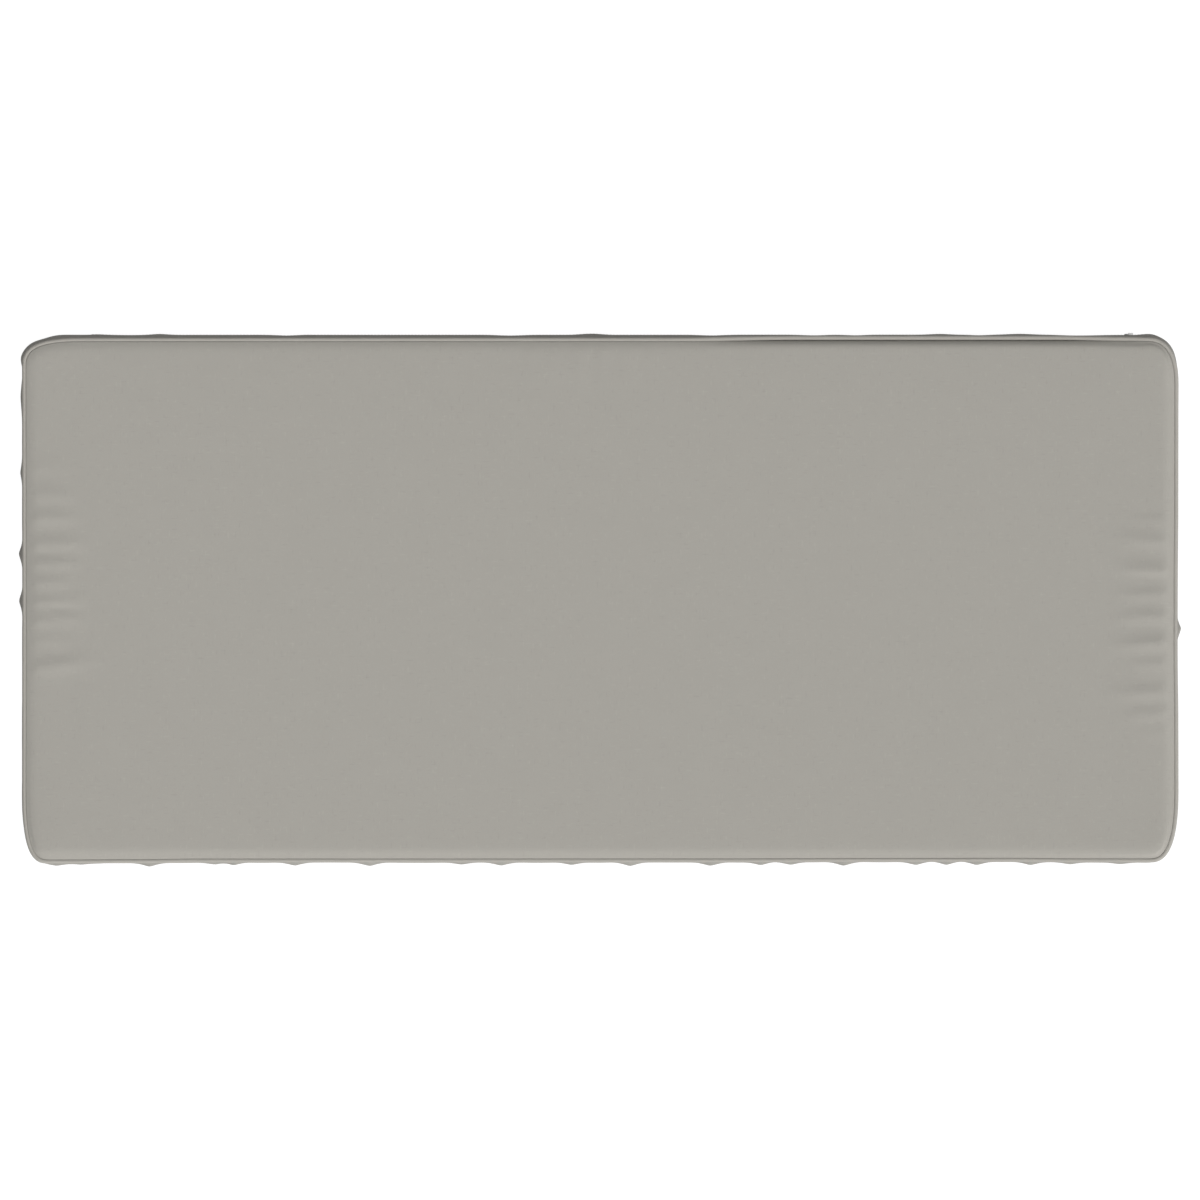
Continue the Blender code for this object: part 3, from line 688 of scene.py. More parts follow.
def top_rise(x, y):
    """How much the crown and the puckers raise the top at x, y."""
    rise = CROWN
    rise *= crown_share(min(x - SEAM_LEFT, SEAM_RIGHT - x))
    rise *= crown_share(min(y - SEAM_FRONT, SEAM_BACK - y))
    inside = {
        "left": (x - SEAM_LEFT, y), "right": (SEAM_RIGHT - x, y),
        "back": (SEAM_BACK - y, x), "front": (y - SEAM_FRONT, x),
    }
    for side, (depth, _) in inside.items():
        start = ease((depth - RIM_START) / RIM_EASE)
        rise += RIM_RISE[side] * start * math.exp(-max(depth - RIM_TOP, 0.0) / RIM_REACH)
    for side, puckers in PUCKERS.items():
        depth, across = inside[side]
        start = ease((depth - PUCKER_START) / PUCKER_EASE)
        for place, lift, length, slant in puckers:
            fade = start * (1 - ease((depth - PUCKER_HOLD * length) / (PUCKER_FADE * length)))
            away = across - place - slant * (depth - SLANT_FROM)
            rise += lift * fade * hump(away, PUCKER_HALF_WIDTH)
    return rise


print("the crown and the rim raise the middle by", round(1000 * top_rise(0.0, 0.0), 2), "mm")

# %% [markdown]
# ## The net
#
# The rows and columns are joined into a closed band, and a regular grid closes the top and
# the bottom. One face with hundreds of corners would close them too, but subdividing such
# a face takes many minutes. While the net is being made, each face gets its place on the
# cloth, its UV, in metres: the panels lie flat as they were cut, and the wall is a strip
# that is unrolled round the cushion.

# %% Make the net
def add_object(name, mesh):
    """Puts a mesh into the scene as an object of its own."""
    obj = bpy.data.objects.new(name, mesh)
    bpy.context.scene.collection.objects.link(obj)
    return obj


PANEL_FROM = TOP_SEAM + 0.003  # the points above this belong to the top panel
UNROLLED = [0.0]  # length along the seam line at each column
for near, far in zip(COLUMNS, COLUMNS[1:] + COLUMNS[:1]):
    step = (column_point(far, 0.0) - column_point(near, 0.0)).length
    UNROLLED.append(UNROLLED[-1] + step)

bm = bmesh.new()
cloth_map = bm.loops.layers.uv.new("cloth")
net = []
for out, height in BOTTOM_ROWS:
    net.append([bm.verts.new(rim_point(column, out, height)) for column in COLUMNS])
for row in WALL_ROWS:
    net.append([bm.verts.new(wall_point(column, *row)) for column in COLUMNS])
for out, height in TOP_ROWS:
    net.append([bm.verts.new(rim_point(column, out, height)) for column in COLUMNS])
first_wall = len(BOTTOM_ROWS)
first_top = first_wall + len(WALL_ROWS)
for row in range(ROWS - 1):
    for i in range(COUNT):
        j = (i + 1) % COUNT
        corners = (net[row][i], net[row][j], net[row + 1][j], net[row + 1][i])
        face = bm.faces.new(corners)
        if first_wall - 1 <= row < first_top:
            lengths = (UNROLLED[i], UNROLLED[i + 1], UNROLLED[i + 1], UNROLLED[i])
            for loop, length in zip(face.loops, lengths):
                loop[cloth_map].uv = (length, loop.vert.co.z)
            face.tag = True

# The grids' corners are the middle columns of the four rounded corners.
middles = [
    i for i, (name, where) in enumerate(COLUMNS)
    if name in CORNERS and abs(where - math.pi / 4) < 1e-6
]


def ring_edges(ring, first, last):
    """Edges of a ring of points from one column to another."""
    steps = (last - first) % COUNT
    pairs = [((first + i) % COUNT, (first + i + 1) % COUNT) for i in range(steps)]
    return [bm.edges.get((ring[i], ring[j])) for i, j in pairs]


front_right, back_right, back_left, front_left = middles
for ring in (net[0], net[-1]):
    rails = ring_edges(ring, front_left, front_right) + ring_edges(ring, back_right, back_left)
    bmesh.ops.grid_fill(bm, edges=rails, use_interp_simple=True)
for face in bm.faces:
    if not face.tag:
        for loop in face.loops:
            loop[cloth_map].uv = loop.vert.co.xy
for vert in bm.verts:
    if vert.co.z > PANEL_FROM:
        vert.co.z += top_rise(vert.co.x, vert.co.y)
bmesh.ops.recalc_face_normals(bm, faces=bm.faces)
cover_mesh = bpy.data.meshes.new("cover")
bm.to_mesh(cover_mesh)
bm.free()
cover = add_object("cover", cover_mesh)
print("cover:", len(cover_mesh.vertices), "points,", len(cover_mesh.polygons), "faces")

# %% [markdown]
# ## How far the wall may move
#
# The foam holds the panels flat and the thread holds the seams, so only the wall between
# the two seams is loose cloth, apart from its part at the zip. A simulation will make it
# swell. Each point gets a limit first, so that the cushion keeps its size and the zip
# keeps its recess.

# %% Limits of the wall
WALL_LIMIT = 0.0026
SEAM_EASE = 0.25  # the share of that limit in the wall's first and last row
OUT_LIMIT = 0.0005  # the wall may stand out only this much further than its folds do
LIP_ROWS = (7, 15)  # the wall's rows on the crests of the zip's two lips
LIP_SPREAD = 3  # so many rows from a crest, the limits are the wall's again
LIP_LIMIT = 0.0005
LOOSE_ROWS = range(first_wall - 1, first_top + 1)
FIRST_LOOSE = LOOSE_ROWS[0] * COUNT  # the number of the first loose point


def wall_limit(row, i):
    """How far a point of the wall may move; 0 where thread or the zip holds it."""
    number = row - first_wall
    if not 0 <= number < len(WALL_ROWS):
        return 0.0
    at_zip = zip_share(column_point(COLUMNS[i], 0.0))
    if WALL_ROWS[number][2] > 0 and at_zip > 0:
        return 0.0
    limit = WALL_LIMIT * min(1.0, SEAM_EASE * min(number + 1, len(WALL_ROWS) - number))
    from_lip = min(abs(number - lip) for lip in LIP_ROWS)
    if from_lip < LIP_SPREAD:
        limit += at_zip * (min(LIP_LIMIT * (1 + from_lip), limit) - limit)
    return limit


print(FIRST_LOOSE, "points lie below the loose wall, which has", len(LOOSE_ROWS), "rows")

# %% [markdown]
# ## Stuffing it
#
# Blender's cloth simulation fills the wall: a copy of it is held at its edges and at the
# zip, and the pressure inside makes it swell. A second shape key says that the strip was
# cut a little longer than the wall, so it gathers into upright folds. After twenty frames
# the result is applied, and each point takes it over within its limit.

# %% Fill the wall
PRESSURE = 4.0
FRAMES = 20
SPARE_CLOTH = 0.025  # share of the wall's length


def copy_of_wall(obj):
    """The loose part of the net as an object of its own."""
    last = FIRST_LOOSE + len(LOOSE_ROWS) * COUNT
    points = [vert.co.copy() for vert in obj.data.vertices[FIRST_LOOSE:last]]
    faces = [
        (row * COUNT + i, row * COUNT + (i + 1) % COUNT,
         (row + 1) * COUNT + (i + 1) % COUNT, (row + 1) * COUNT + i)
        for row in range(len(LOOSE_ROWS) - 1) for i in range(COUNT)
    ]
    mesh = bpy.data.meshes.new("loose wall")
    mesh.from_pydata(points, [], faces)
    return add_object("loose wall", mesh)


def only(obj):
    """Makes obj the only selected and active object."""
    bpy.ops.object.select_all(action="DESELECT")
    obj.select_set(True)
    bpy.context.view_layer.objects.active = obj


def add_filling(wall, held_points):
    """The cloth simulation: pressure from inside, on a strip that was cut too long."""
    held = wall.vertex_groups.new(name="held")
    held.add(held_points, 1.0, "REPLACE")
    wall.shape_key_add(name="as sewn")
    as_cut = wall.shape_key_add(name="as cut")
    for point in as_cut.data:
        point.co.x *= 1 + SPARE_CLOTH
        point.co.y *= 1 + SPARE_CLOTH
    cloth = wall.modifiers.new("filling", "CLOTH")
    settings = cloth.settings
    settings.quality = 5
    settings.mass = 0.25
    settings.tension_stiffness = 20
    settings.compression_stiffness = 20
    settings.shear_stiffness = 10
    settings.bending_stiffness = 0.3
    settings.air_damping = 2.0
    settings.use_pressure = True
    settings.uniform_pressure_force = PRESSURE
    settings.vertex_group_mass = "held"
    settings.pin_stiffness = 1.0
    settings.rest_shape_key = as_cut
    settings.effector_weights.gravity = 0.0
    cloth.collision_settings.use_collision = False
    cloth.point_cache.frame_end = FRAMES


def stuff(obj):
    """Fills the wall, and gives obj the new shape within the limits."""
    wall = copy_of_wall(obj)
    rest = [vert.co.copy() for vert in wall.data.vertices]
    limits = [wall_limit(row, i) for row in LOOSE_ROWS for i in range(COUNT)]
    add_filling(wall, [i for i, limit in enumerate(limits) if limit == 0.0])
    for number in range(1, FRAMES + 1):
        bpy.context.scene.frame_set(number)
    only(wall)
    bpy.ops.object.convert(target="MESH")
    bpy.context.scene.frame_set(1)
    furthest, total = 0.0, 0.0
    for i, (vert, start, limit) in enumerate(zip(wall.data.vertices, rest, limits)):
        step = vert.co - start
        furthest = max(furthest, step.length)
        outward = column_outward(COLUMNS[i % COUNT])
        step -= max(step.dot(outward) - min(OUT_LIMIT, limit), 0.0) * outward
        if step.length > limit:
            step *= limit / step.length
        obj.data.vertices[FIRST_LOOSE + i].co = start + step
        total += step.length
    bpy.data.objects.remove(wall, do_unlink=True)
    print("the wall wanted to move by up to", round(furthest * 1000, 2), "mm")
    print("it moved by", round(total / len(rest) * 1000, 3), "mm on average")


stuff(cover)

# %% [markdown]
# ## A finer cover
#
# One subdivision rounds the net into cloth. Its UV stays as it is, so that threads keep
# their size. The finished cover rides on the only body, and stands for the CAD solid.

# %% Finish the cover's shape
def apply_modifier(obj, kind, **values):
    """Adds a modifier with these values to obj, and applies it."""
    modifier = obj.modifiers.new(kind.lower(), kind)
    for name, value in values.items():
        setattr(modifier, name, value)
    only(obj)
    bpy.ops.object.modifier_apply(modifier=modifier.name)


apply_modifier(cover, "SUBSURF", levels=1, render_levels=1, uv_smooth="NONE")
bpy.ops.object.shade_smooth()
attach(cover, "root")
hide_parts("cushion_body")
print("cover:", len(cover.data.polygons), "faces after subdivision")

# %% [markdown]
# ## The piping
#
# Piping is a cord in a strip of cloth that is cut on the bias, so that it can go round
# corners. Its path is the seam line. A curve with a round bevel would give such a tube,
# but here each ring of points is placed by a loop, so that the thickness can change on
# the way and the UV counts in metres, along the cord and round it. A cord in cloth is
# never quite even, and where the strip's ends meet it is thicker over a short length.

# %% Make the piping
UP = Vector((0, 0, 1))
WELT_RADIUS = 0.0023
WELT_SIDES = 16
WELT_SPARE = 0.00006  # on average it is thinner by this, so that no place is too thick
WELT_UNEVEN = 0.00007
WELT_WAVES = ((38, 0.5), (91, 0.3), (173, 0.2))  # radians a metre, share of the unevenness
JOIN_PLACE = 0.30  # the strip's ends meet here, on the back
JOIN_LENGTH = 0.012
JOIN_THICKER = 0.00012


def seam_path(height):
    """Two points for every column, on the seam line at this height."""
    points = []
    for column in COLUMNS:
        on_seam = column_point(column, 0.0)
        point = on_seam + seam_drift(column, on_seam) * column_outward(column)
        sag = SAG * back_slip(column, on_seam) if height > MID_WALL else 0.0
        point.z = height - sag
        points.append(point)
    path = []
    for i, point in enumerate(points):
        before, after, last = points[i - 1], points[(i + 1) % COUNT], points[(i + 2) % COUNT]
        path.append(point)
        path.append((9 * (point + after) - before - last) / 16)  # halfway, on a smooth line
    return path


def make_piping(name, height, seed):
    """Makes the piping in the seam at this height."""
    path = seam_path(height)
    dice = random.Random(seed)
    phases = [(dice.uniform(0, 6.28), dice.uniform(0.6, 1.0)) for _ in WELT_WAVES]
    mesh = bpy.data.meshes.new(name)
    tube = bmesh.new()
    strip = tube.loops.layers.uv.new("cloth")
    turns = [2 * math.pi * k / WELT_SIDES for k in range(WELT_SIDES)]
    rings, lengths = [], [0.0]
    join = next(p for p in path if p.y > BACK_STARTS and p.x < JOIN_PLACE)
    for i, point in enumerate(path):
        after = path[(i + 1) % len(path)]
        outward = (after - path[i - 1]).normalized().cross(UP)
        length = lengths[-1]
        uneven = sum(
            share * math.sin(rate * length * strength + phase)
            for (rate, share), (phase, strength) in zip(WELT_WAVES, phases)
        )
        radius = WELT_RADIUS - WELT_SPARE + WELT_UNEVEN * uneven
        radius += JOIN_THICKER * hump((point - join).length, JOIN_LENGTH)
        spokes = [math.cos(turn) * outward + math.sin(turn) * UP for turn in turns]
        rings.append([tube.verts.new(point + radius * spoke) for spoke in spokes])
        lengths.append(length + (after - point).length)
    round_it = 2 * math.pi * WELT_RADIUS
    for i, ring in enumerate(rings):
        after = rings[(i + 1) % len(rings)]
        for k in range(WELT_SIDES):
            m = (k + 1) % WELT_SIDES
            face = tube.faces.new((ring[k], ring[m], after[m], after[k]))
            spots = ((i, k), (i, k + 1), (i + 1, k + 1), (i + 1, k))
            for loop, (row, side) in zip(face.loops, spots):
                loop[strip].uv = (lengths[row], round_it * side / WELT_SIDES)
    bmesh.ops.recalc_face_normals(tube, faces=tube.faces)
    tube.to_mesh(mesh)
    tube.free()
    piping = add_object(name, mesh)
    only(piping)
    bpy.ops.object.shade_smooth()
    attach(piping, "root")
    print(name, "is", round(lengths[-1], 3), "m round,", len(mesh.polygons), "faces")
    return piping


piping_top = make_piping("piping_top", TOP_SEAM, 11)
piping_bottom = make_piping("piping_bottom", BOTTOM_SEAM, 12)
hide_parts("welt_top")
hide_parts("welt_bottom")

# %% [markdown]
# ## The zip
#
# The tape is a flat woven band, and its CAD solid already has that shape. The chain is a
# nylon wire, coiled and sewn to both halves of the tape: from outside each turn shows as
# a short rounded bar, and the two sides mesh like fingers. One pair of turns is modelled
# from a cube, and an array repeats it along the zip.

# %% Make the chain
ZIP_GAP = 0.0003  # between the floor of the recess, the tape and the chain
TAPE_THICK = 0.0008
TAPE_FACE = RECESS_FLOOR + ZIP_GAP + TAPE_THICK  # the tape's outer face
CHAIN_LEFT = ZIP_LEFT + 0.003
CHAIN_RIGHT = ZIP_RIGHT - 0.002
CHAIN_HALF = 0.0025
CHAIN_MESH = 0.0007  # how far a turn reaches past the middle
TURN_PITCH = 0.0016
TURN_SIZE = (0.00064, 0.00118, CHAIN_HALF + CHAIN_MESH)
TURN_ROUNDING = 0.00022

bpy.ops.object.select_all(action="DESELECT")
bars = []
for side, shift in ((1, 0.0), (-1, TURN_PITCH / 2)):
    middle = (
        CHAIN_LEFT + TURN_SIZE[0] / 2 + shift,
        TAPE_FACE + ZIP_GAP + TURN_SIZE[1] / 2,
        ZIP_HEIGHT + side * (CHAIN_HALF - TURN_SIZE[2] / 2),
    )
    bpy.ops.mesh.primitive_cube_add(size=1, location=middle, scale=TURN_SIZE)
    bpy.ops.object.transform_apply(location=True, rotation=False, scale=True)
    bars.append(bpy.context.object)
bpy.ops.object.select_all(action="DESELECT")
for bar in bars:
    bar.select_set(True)
bpy.context.view_layer.objects.active = bars[0]
bpy.ops.object.join()
chain = bpy.context.object
chain.name = "zip_chain"
apply_modifier(chain, "BEVEL", width=TURN_ROUNDING, segments=1, limit_method="NONE")
turns = int((CHAIN_RIGHT - CHAIN_LEFT - TURN_PITCH) / TURN_PITCH) + 1
apply_modifier(
    chain, "ARRAY", count=turns, use_relative_offset=False,
    use_constant_offset=True, constant_offset_displace=(TURN_PITCH, 0, 0),
)
bpy.ops.object.shade_smooth()
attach(chain, "root")
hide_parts("zip_coil")
print("zip chain:", turns, "pairs of turns,", len(chain.data.polygons), "faces")

# %% [markdown]
# ## Slider and pull
#
# Both are cast in metal, so all their edges are a little round. The CAD solids have the
# right shape, with sharp edges: a copy of each is merged, its flat faces are joined, and
# a bevel rounds its edges.

# %% Round the slider and the pull
CAST_ROUNDING = 0.00018


def rounded_copy(node, name):
    """A copy of a node's solid, with rounded edges, that replaces it."""
    piece = add_object(name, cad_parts[node].data.copy())
    only(piece)
    bpy.ops.object.mode_set(mode="EDIT")
    bpy.ops.mesh.select_all(action="SELECT")
    bpy.ops.mesh.remove_doubles(threshold=0.00001)
    bpy.ops.mesh.dissolve_limited(angle_limit=math.radians(1))
    bpy.ops.object.mode_set(mode="OBJECT")
    apply_modifier(
        piece, "BEVEL", width=CAST_ROUNDING, segments=2, limit_method="ANGLE",
        angle_limit=math.radians(35), use_clamp_overlap=True,
    )
    bpy.ops.object.shade_smooth_by_angle(angle=math.radians(40))
    piece.data.materials.clear()
    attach(piece, "root")
    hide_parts(node)
    print(name, "has", len(piece.data.polygons), "faces")
    return piece


slider = rounded_copy("zip_slider", "slider")
pull = rounded_copy("zip_pull", "pull_tab")

# %% [markdown]
# ## The stitches beside the zip
#
# A sewing machine closes the folded edges on both sides of the zip with a straight seam.
# Each stitch is a short length of thread that sinks into the cloth at both ends. One is
# modelled from a sphere, and is then copied along both lines: every copy is laid on the
# wall where a ray from behind meets it, so that the seam follows the cloth.

# %% Sew beside the zip
STITCH_PITCH = 0.0032
STITCH_LENGTH = 0.0027
STITCH_THICK = 0.00038
STITCH_PROUD = 0.00008  # how far the thread's middle lies outside the cloth
STITCH_AWAY = 0.0088  # from the middle of the zip
SEW_PAST = 0.004  # a row goes on past both ends of the recess by this
BEHIND = 0.3  # rays to the back wall start here
FORWARDS = Vector((0, -1, 0))

bpy.ops.object.select_all(action="DESELECT")
bpy.ops.mesh.primitive_uv_sphere_add(segments=6, ring_count=6, radius=0.5, location=(0, 0, 0))
stitch = bpy.context.object
bpy.ops.object.mode_set(mode="EDIT")
bpy.ops.mesh.select_all(action="SELECT")
bpy.ops.transform.rotate(value=math.pi / 2, orient_axis="Y", center_override=(0, 0, 0))
bpy.ops.transform.resize(value=(STITCH_LENGTH, STITCH_THICK, STITCH_THICK))
bpy.ops.object.mode_set(mode="OBJECT")
one_stitch = [vert.co.copy() for vert in stitch.data.vertices]
stitch_faces = [tuple(face.vertices) for face in stitch.data.polygons]
bpy.data.objects.remove(stitch, do_unlink=True)

bpy.context.view_layer.update()
cloth_surface = BVHTree.FromObject(cover, bpy.context.evaluated_depsgraph_get())


def on_cloth(x, height):
    """The place on the back wall that a level ray from behind meets."""
    return cloth_surface.ray_cast(Vector((x, BEHIND, height)), FORWARDS)[0]


def sew(name, height):
    """Sews one row of stitches along the back wall at this height."""
    points, faces = [], []
    x = RECESS_LEFT - SEW_PAST
    while x < RECESS_RIGHT + SEW_PAST:
        start = on_cloth(x - STITCH_LENGTH / 2, height)
        end = on_cloth(x + STITCH_LENGTH / 2, height)
        ahead = (end - start).normalized()
        outward = UP.cross(ahead)
        middle = (start + end) / 2 + outward * STITCH_PROUD
        upward = ahead.cross(outward)
        first = len(points)
        points += [middle + p.x * ahead + p.y * outward + p.z * upward for p in one_stitch]
        faces += [tuple(first + i for i in face) for face in stitch_faces]
        x += STITCH_PITCH
    mesh = bpy.data.meshes.new(name)
    mesh.from_pydata(points, [], faces)
    row = add_object(name, mesh)
    only(row)
    bpy.ops.object.mode_set(mode="EDIT")
    bpy.ops.mesh.select_all(action="SELECT")
    bpy.ops.mesh.normals_make_consistent(inside=False)
    bpy.ops.object.mode_set(mode="OBJECT")
    bpy.ops.object.shade_smooth()
    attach(row, "root")
    print(name, "has", len(points) // len(one_stitch), "stitches")
    return row


seams = [
    sew("stitches_above_zip", ZIP_HEIGHT + STITCH_AWAY),
    sew("stitches_below_zip", ZIP_HEIGHT - STITCH_AWAY),
]

# %% [markdown]
# ## One weave for all the cloth
#
# The cover, the piping and the tape are woven. In a plain weave each thread goes over one
# and under the next: two sine waves, one along each thread direction, give that height
# exactly. Real yarn is uneven, so short thick places, the slubs, show as small dashes in
# both directions. All of this is one node group. It puts out a shade, around 1, and a
# height in metres. The shade holds the yarn's own uneven tone, and painted shade too: it
# makes the low places of the weave darker and the raised threads lighter.

# %% The weave group
SLUB_LENGTH, SLUB_WIDTH = 0.0080, 0.0018
LIGHT_SLUB = (0.70, 0.82)  # where the noise is this high, a slub turns light
DARK_SLUB = (0.18, 0.30)  # and where it is this low, dark
FLECK_SIZE = (0.0016, 0.0016, 1.0)
PATCH_SIZE = (0.030, 0.022, 1.0)  # wide and faint, as in cloth that was sat on
MEAN_HEIGHT = 0.62  # of the weave, as a share of its highest point
# the thread term is painted shade: the weave's low places darker, its raised threads lighter
SLUB_SHADE, FLECK_SHADE, PATCH_SHADE, THREAD_PAINTED_SHADE = 0.045, 0.03, 0.03, 0.14
THREAD_RELIEF = 0.30  # of a thread's width
SLUB_RELIEF = 0.00004
WEAVE_SOCKETS = (
    ("Vector", "INPUT", "NodeSocketVector"), ("Thread", "INPUT", "NodeSocketFloat"),
    ("Slubs", "INPUT", "NodeSocketFloat"), ("Shade", "OUTPUT", "NodeSocketFloat"),
    ("Height", "OUTPUT", "NodeSocketFloat"),
)


def slubs_along(wire, vector, size, place):
    """The slubs of one thread direction: light ones above 0, dark ones below."""
    grain = wire.noise(vector, size, 0.0, place)
    light = wire.spread(grain, *LIGHT_SLUB, 0.0, 1.0)
    dark = wire.spread(grain, *DARK_SLUB, 1.0, 0.0)
    return wire.math("SUBTRACT", light, dark)


def make_weave():
    """The node group of a plain weave with slubs."""
    tree = bpy.data.node_groups.new("plain weave", "ShaderNodeTree")
    for name, direction, kind in WEAVE_SOCKETS:
        tree.interface.new_socket(name=name, in_out=direction, socket_type=kind)
    wire = Wiring(tree)
    inside = wire.node("NodeGroupInput")
    outside = wire.node("NodeGroupOutput")
    vector, thread, slubs = (inside.outputs[name] for name in ("Vector", "Thread", "Slubs"))

    split = wire.node("ShaderNodeSeparateXYZ")
    wire.feed(split.inputs[0], vector)
    turns = []
    for across in (split.outputs["X"], split.outputs["Y"]):
        angle = wire.math("MULTIPLY", wire.math("DIVIDE", across, thread), math.pi)
        turns.append(wire.math("SINE", angle))
    crossing = wire.math("MULTIPLY", turns[0], turns[1])
    warp = wire.math("ADD", wire.math("ABSOLUTE", turns[0]), crossing)
    weft = wire.math("SUBTRACT", wire.math("ABSOLUTE", turns[1]), crossing)
    over = wire.math("MULTIPLY", wire.math("MAXIMUM", warp, weft), 0.5)

    weft_slubs = slubs_along(wire, vector, (SLUB_LENGTH, SLUB_WIDTH, 1.0), (0.0, 0.0, 0.0))
    warp_slubs = slubs_along(wire, vector, (SLUB_WIDTH, SLUB_LENGTH, 1.0), (3.7, 1.9, 0.0))
    slub = wire.math("MULTIPLY", wire.math("ADD", weft_slubs, warp_slubs), slubs)
    fleck = wire.noise(vector, FLECK_SIZE, 1.0, (9.0, 4.0, 0.0))
    patch = wire.noise(vector, PATCH_SIZE, 3.0, (5.0, 8.0, 0.0))

    shade = wire.math("MULTIPLY_ADD", slub, SLUB_SHADE, 1.0)
    # the weave's height sets painted shade, with its low places darker and its raised threads
    # lighter; slubs, flecks and patches are the cloth's own tone
    for mottle, mean, strength in (
        (fleck, 0.5, FLECK_SHADE), (patch, 0.5, PATCH_SHADE), (over, MEAN_HEIGHT, THREAD_PAINTED_SHADE),
    ):
        shade = wire.math("MULTIPLY_ADD", wire.math("SUBTRACT", mottle, mean), strength, shade)
    height = wire.math("MULTIPLY", over, wire.math("MULTIPLY", thread, THREAD_RELIEF))
    height = wire.math("MULTIPLY_ADD", slub, SLUB_RELIEF, height)
    wire.feed(outside.inputs["Shade"], shade)
    wire.feed(outside.inputs["Height"], height)
    return tree


WEAVE = make_weave()
print("weave group:", len(WEAVE.nodes), "nodes")

# %% [markdown]
# ## Cloth
#
# The cover's cloth is a warm light grey. Its colour is multiplied by the weave's shade,
# and the weave's height goes through a Bump node. A little sheen stands for the fine
# loose fibres, which catch light at the rims. The piping is the same cloth, turned by 45
# degrees, with its colour painted a little lighter for the light that its round top
# catches, and the tape is a finer and darker weave.

# %% Cloth materials
CLOTH_COLOUR = (0.376, 0.361, 0.328)
PIPING_PAINTED_LIGHT_COLOUR = (0.393, 0.377, 0.343)  # the cover's cloth, painted lighter for the light that the piping's round top catches
TAPE_COLOUR = (0.30, 0.29, 0.265)
THREAD_COLOUR = (0.40, 0.385, 0.35)
COVER_YARN, TAPE_YARN, SEWING_YARN = 0.0007, 0.0005, 0.0003  # how wide each thread is
WEAVE_DEPTH = 0.6  # share of the weave's height that the Bump node shows


def new_finish(name):
    """A new material, its shader and the wiring of its nodes."""
    material = bpy.data.materials.new(name)
    material.use_nodes = True
    shader = material.node_tree.nodes["Principled BSDF"]
    return material, shader, Wiring(material.node_tree)


def add_bump(wire, shader, height, strength, distance):
    """Lets the shader feel a height, without moving the surface."""
    bump = wire.node("ShaderNodeBump")
    bump.inputs["Strength"].default_value = strength
    bump.inputs["Distance"].default_value = distance
    wire.feed(bump.inputs["Height"], height)
    wire.feed(shader.inputs["Normal"], bump.outputs[0])


def make_cloth(name, colour, thread, slubs=1.0, turned=0.0, sheen=0.12, by_uv=True):
    """Woven cloth, with threads of this width in metres, turned by so many degrees."""
    material, shader, wire = new_finish(name)
    material.diffuse_color = (*colour, 1.0)
    shader.inputs["Roughness"].default_value = 0.92
    shader.inputs["Specular IOR Level"].default_value = 0.25
    shader.inputs["Sheen Weight"].default_value = sheen
    shader.inputs["Sheen Roughness"].default_value = 0.45
    if by_uv:
        place = wire.node("ShaderNodeUVMap", uv_map="cloth").outputs[0]
        rotation = (0.0, 0.0, math.radians(turned))
    else:  # the tape and the thread have no UV, and take the weave of an upright plane
        place = wire.node("ShaderNodeTexCoord").outputs["Object"]
        rotation = (math.radians(90), 0.0, 0.0)
    turn = wire.node("ShaderNodeMapping")
    turn.inputs["Rotation"].default_value = rotation
    wire.feed(turn.inputs["Vector"], place)
    weave = wire.node("ShaderNodeGroup", node_tree=WEAVE)
    wire.feed(weave.inputs["Vector"], turn.outputs[0])
    weave.inputs["Thread"].default_value = thread
    weave.inputs["Slubs"].default_value = slubs
    tint = wire.node("ShaderNodeMix", data_type="RGBA", blend_type="MULTIPLY")
    tint.inputs["Factor"].default_value = 1.0
    colour_in = [s for s in tint.inputs if s.name == "A" and s.type == "RGBA"][0]
    shade_in = [s for s in tint.inputs if s.name == "B" and s.type == "RGBA"][0]
    colour_in.default_value = (*colour, 1.0)
    wire.feed(shade_in, weave.outputs["Shade"])
    result = [s for s in tint.outputs if s.type == "RGBA"][0]
    wire.feed(shader.inputs["Base Color"], result)
    add_bump(wire, shader, weave.outputs["Height"], WEAVE_DEPTH, 1.0)
    return material


cover_cloth = make_cloth("cover cloth", CLOTH_COLOUR, COVER_YARN)
# the piping's colour is painted lighter, for the light on its round top
piping_cloth = make_cloth("piping cloth painted lighter", PIPING_PAINTED_LIGHT_COLOUR, COVER_YARN, turned=45.0, slubs=0.5)
tape_cloth = make_cloth(
    "zip tape weave", TAPE_COLOUR, TAPE_YARN, slubs=0.3, by_uv=False, sheen=0.05,
)
thread_cloth = make_cloth(
    "sewing thread", THREAD_COLOUR, SEWING_YARN, slubs=0.0, by_uv=False, sheen=0.2,
)


def dress(obj, material):
    """Gives obj this material alone."""
    obj.data.materials.clear()
    obj.data.materials.append(material)


dress(cover, cover_cloth)
dress(piping_top, piping_cloth)
dress(piping_bottom, piping_cloth)
dress(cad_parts["zip_tape"], tape_cloth)
for row in seams:
    dress(row, thread_cloth)
print("woven:", [cloth.name for cloth in (cover_cloth, piping_cloth, tape_cloth, thread_cloth)])

# %% [markdown]
# ## Nylon and metal
#
# The chain is smooth grey nylon, cloudy inside. Slider and pull are zinc with a thin
# nickel plating: bright, with dull smudges and fine scratches that change how rough they
# are.

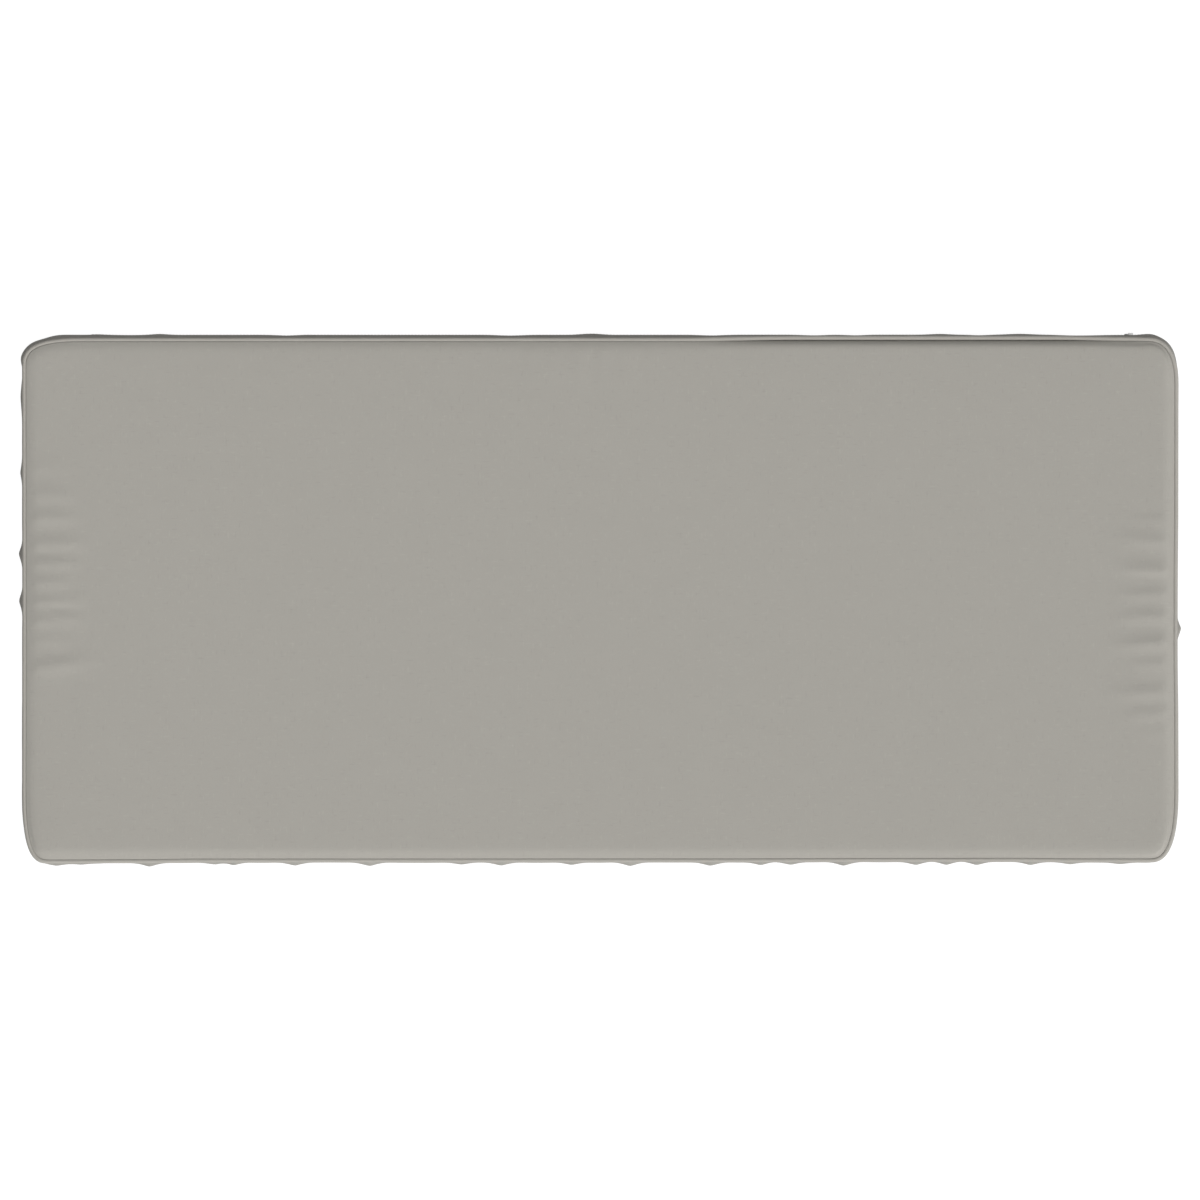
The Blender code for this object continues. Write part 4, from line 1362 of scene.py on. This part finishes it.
# %% Nylon and metal
NYLON_COLOUR = (0.33, 0.32, 0.30)
METAL_COLOUR = (0.72, 0.72, 0.71)
CLOUD_SIZE = (0.0015, 0.0015, 0.0015)
SMUDGE_SIZE = (0.003, 0.003, 0.003)
SCRATCH_SIZE = (0.0040, 0.0002, 0.0003)  # long and thin, along the zip
SCRATCH_DEPTH = 0.00004


def shaded(colour, share):
    """A colour made darker or lighter by a share."""
    return [share * part for part in colour]


def make_nylon():
    """Grey nylon that is a little cloudy."""
    material, shader, wire = new_finish("zip nylon")
    place = wire.node("ShaderNodeTexCoord").outputs["Object"]
    cloud = wire.noise(place, CLOUD_SIZE, 2.0)
    tone = wire.two_tones(cloud, 0.3, shaded(NYLON_COLOUR, 0.88), 0.7, shaded(NYLON_COLOUR, 1.08))
    wire.feed(shader.inputs["Base Color"], tone)
    wire.feed(shader.inputs["Roughness"], wire.spread(cloud, 0.3, 0.7, 0.36, 0.50))
    return material


def make_nickel():
    """Nickel with dull smudges and fine scratches."""
    material, shader, wire = new_finish("nickel plating")
    shader.inputs["Metallic"].default_value = 1.0
    place = wire.node("ShaderNodeTexCoord").outputs["Object"]
    smudge = wire.noise(place, SMUDGE_SIZE, 3.0)
    scratch = wire.noise(place, SCRATCH_SIZE, 2.0, (2.0, 5.0, 1.0))
    tone = wire.two_tones(smudge, 0.3, shaded(METAL_COLOUR, 0.86), 0.6, METAL_COLOUR)
    wire.feed(shader.inputs["Base Color"], tone)
    dull = wire.spread(smudge, 0.35, 0.65, 0.40, 0.26)
    worn = wire.spread(scratch, 0.58, 0.72, 0.0, 0.15)
    wire.feed(shader.inputs["Roughness"], wire.math("ADD", dull, worn))
    add_bump(wire, shader, scratch, 0.3, SCRATCH_DEPTH)
    return material


dress(chain, make_nylon())
nickel = make_nickel()
dress(slider, nickel)
dress(pull, nickel)
print("nylon on the chain, nickel on the slider and its pull")

# %% [markdown]
# ## Last update
#
# The scene is brought up to date.

# %% Update the scene
bpy.context.view_layer.update()
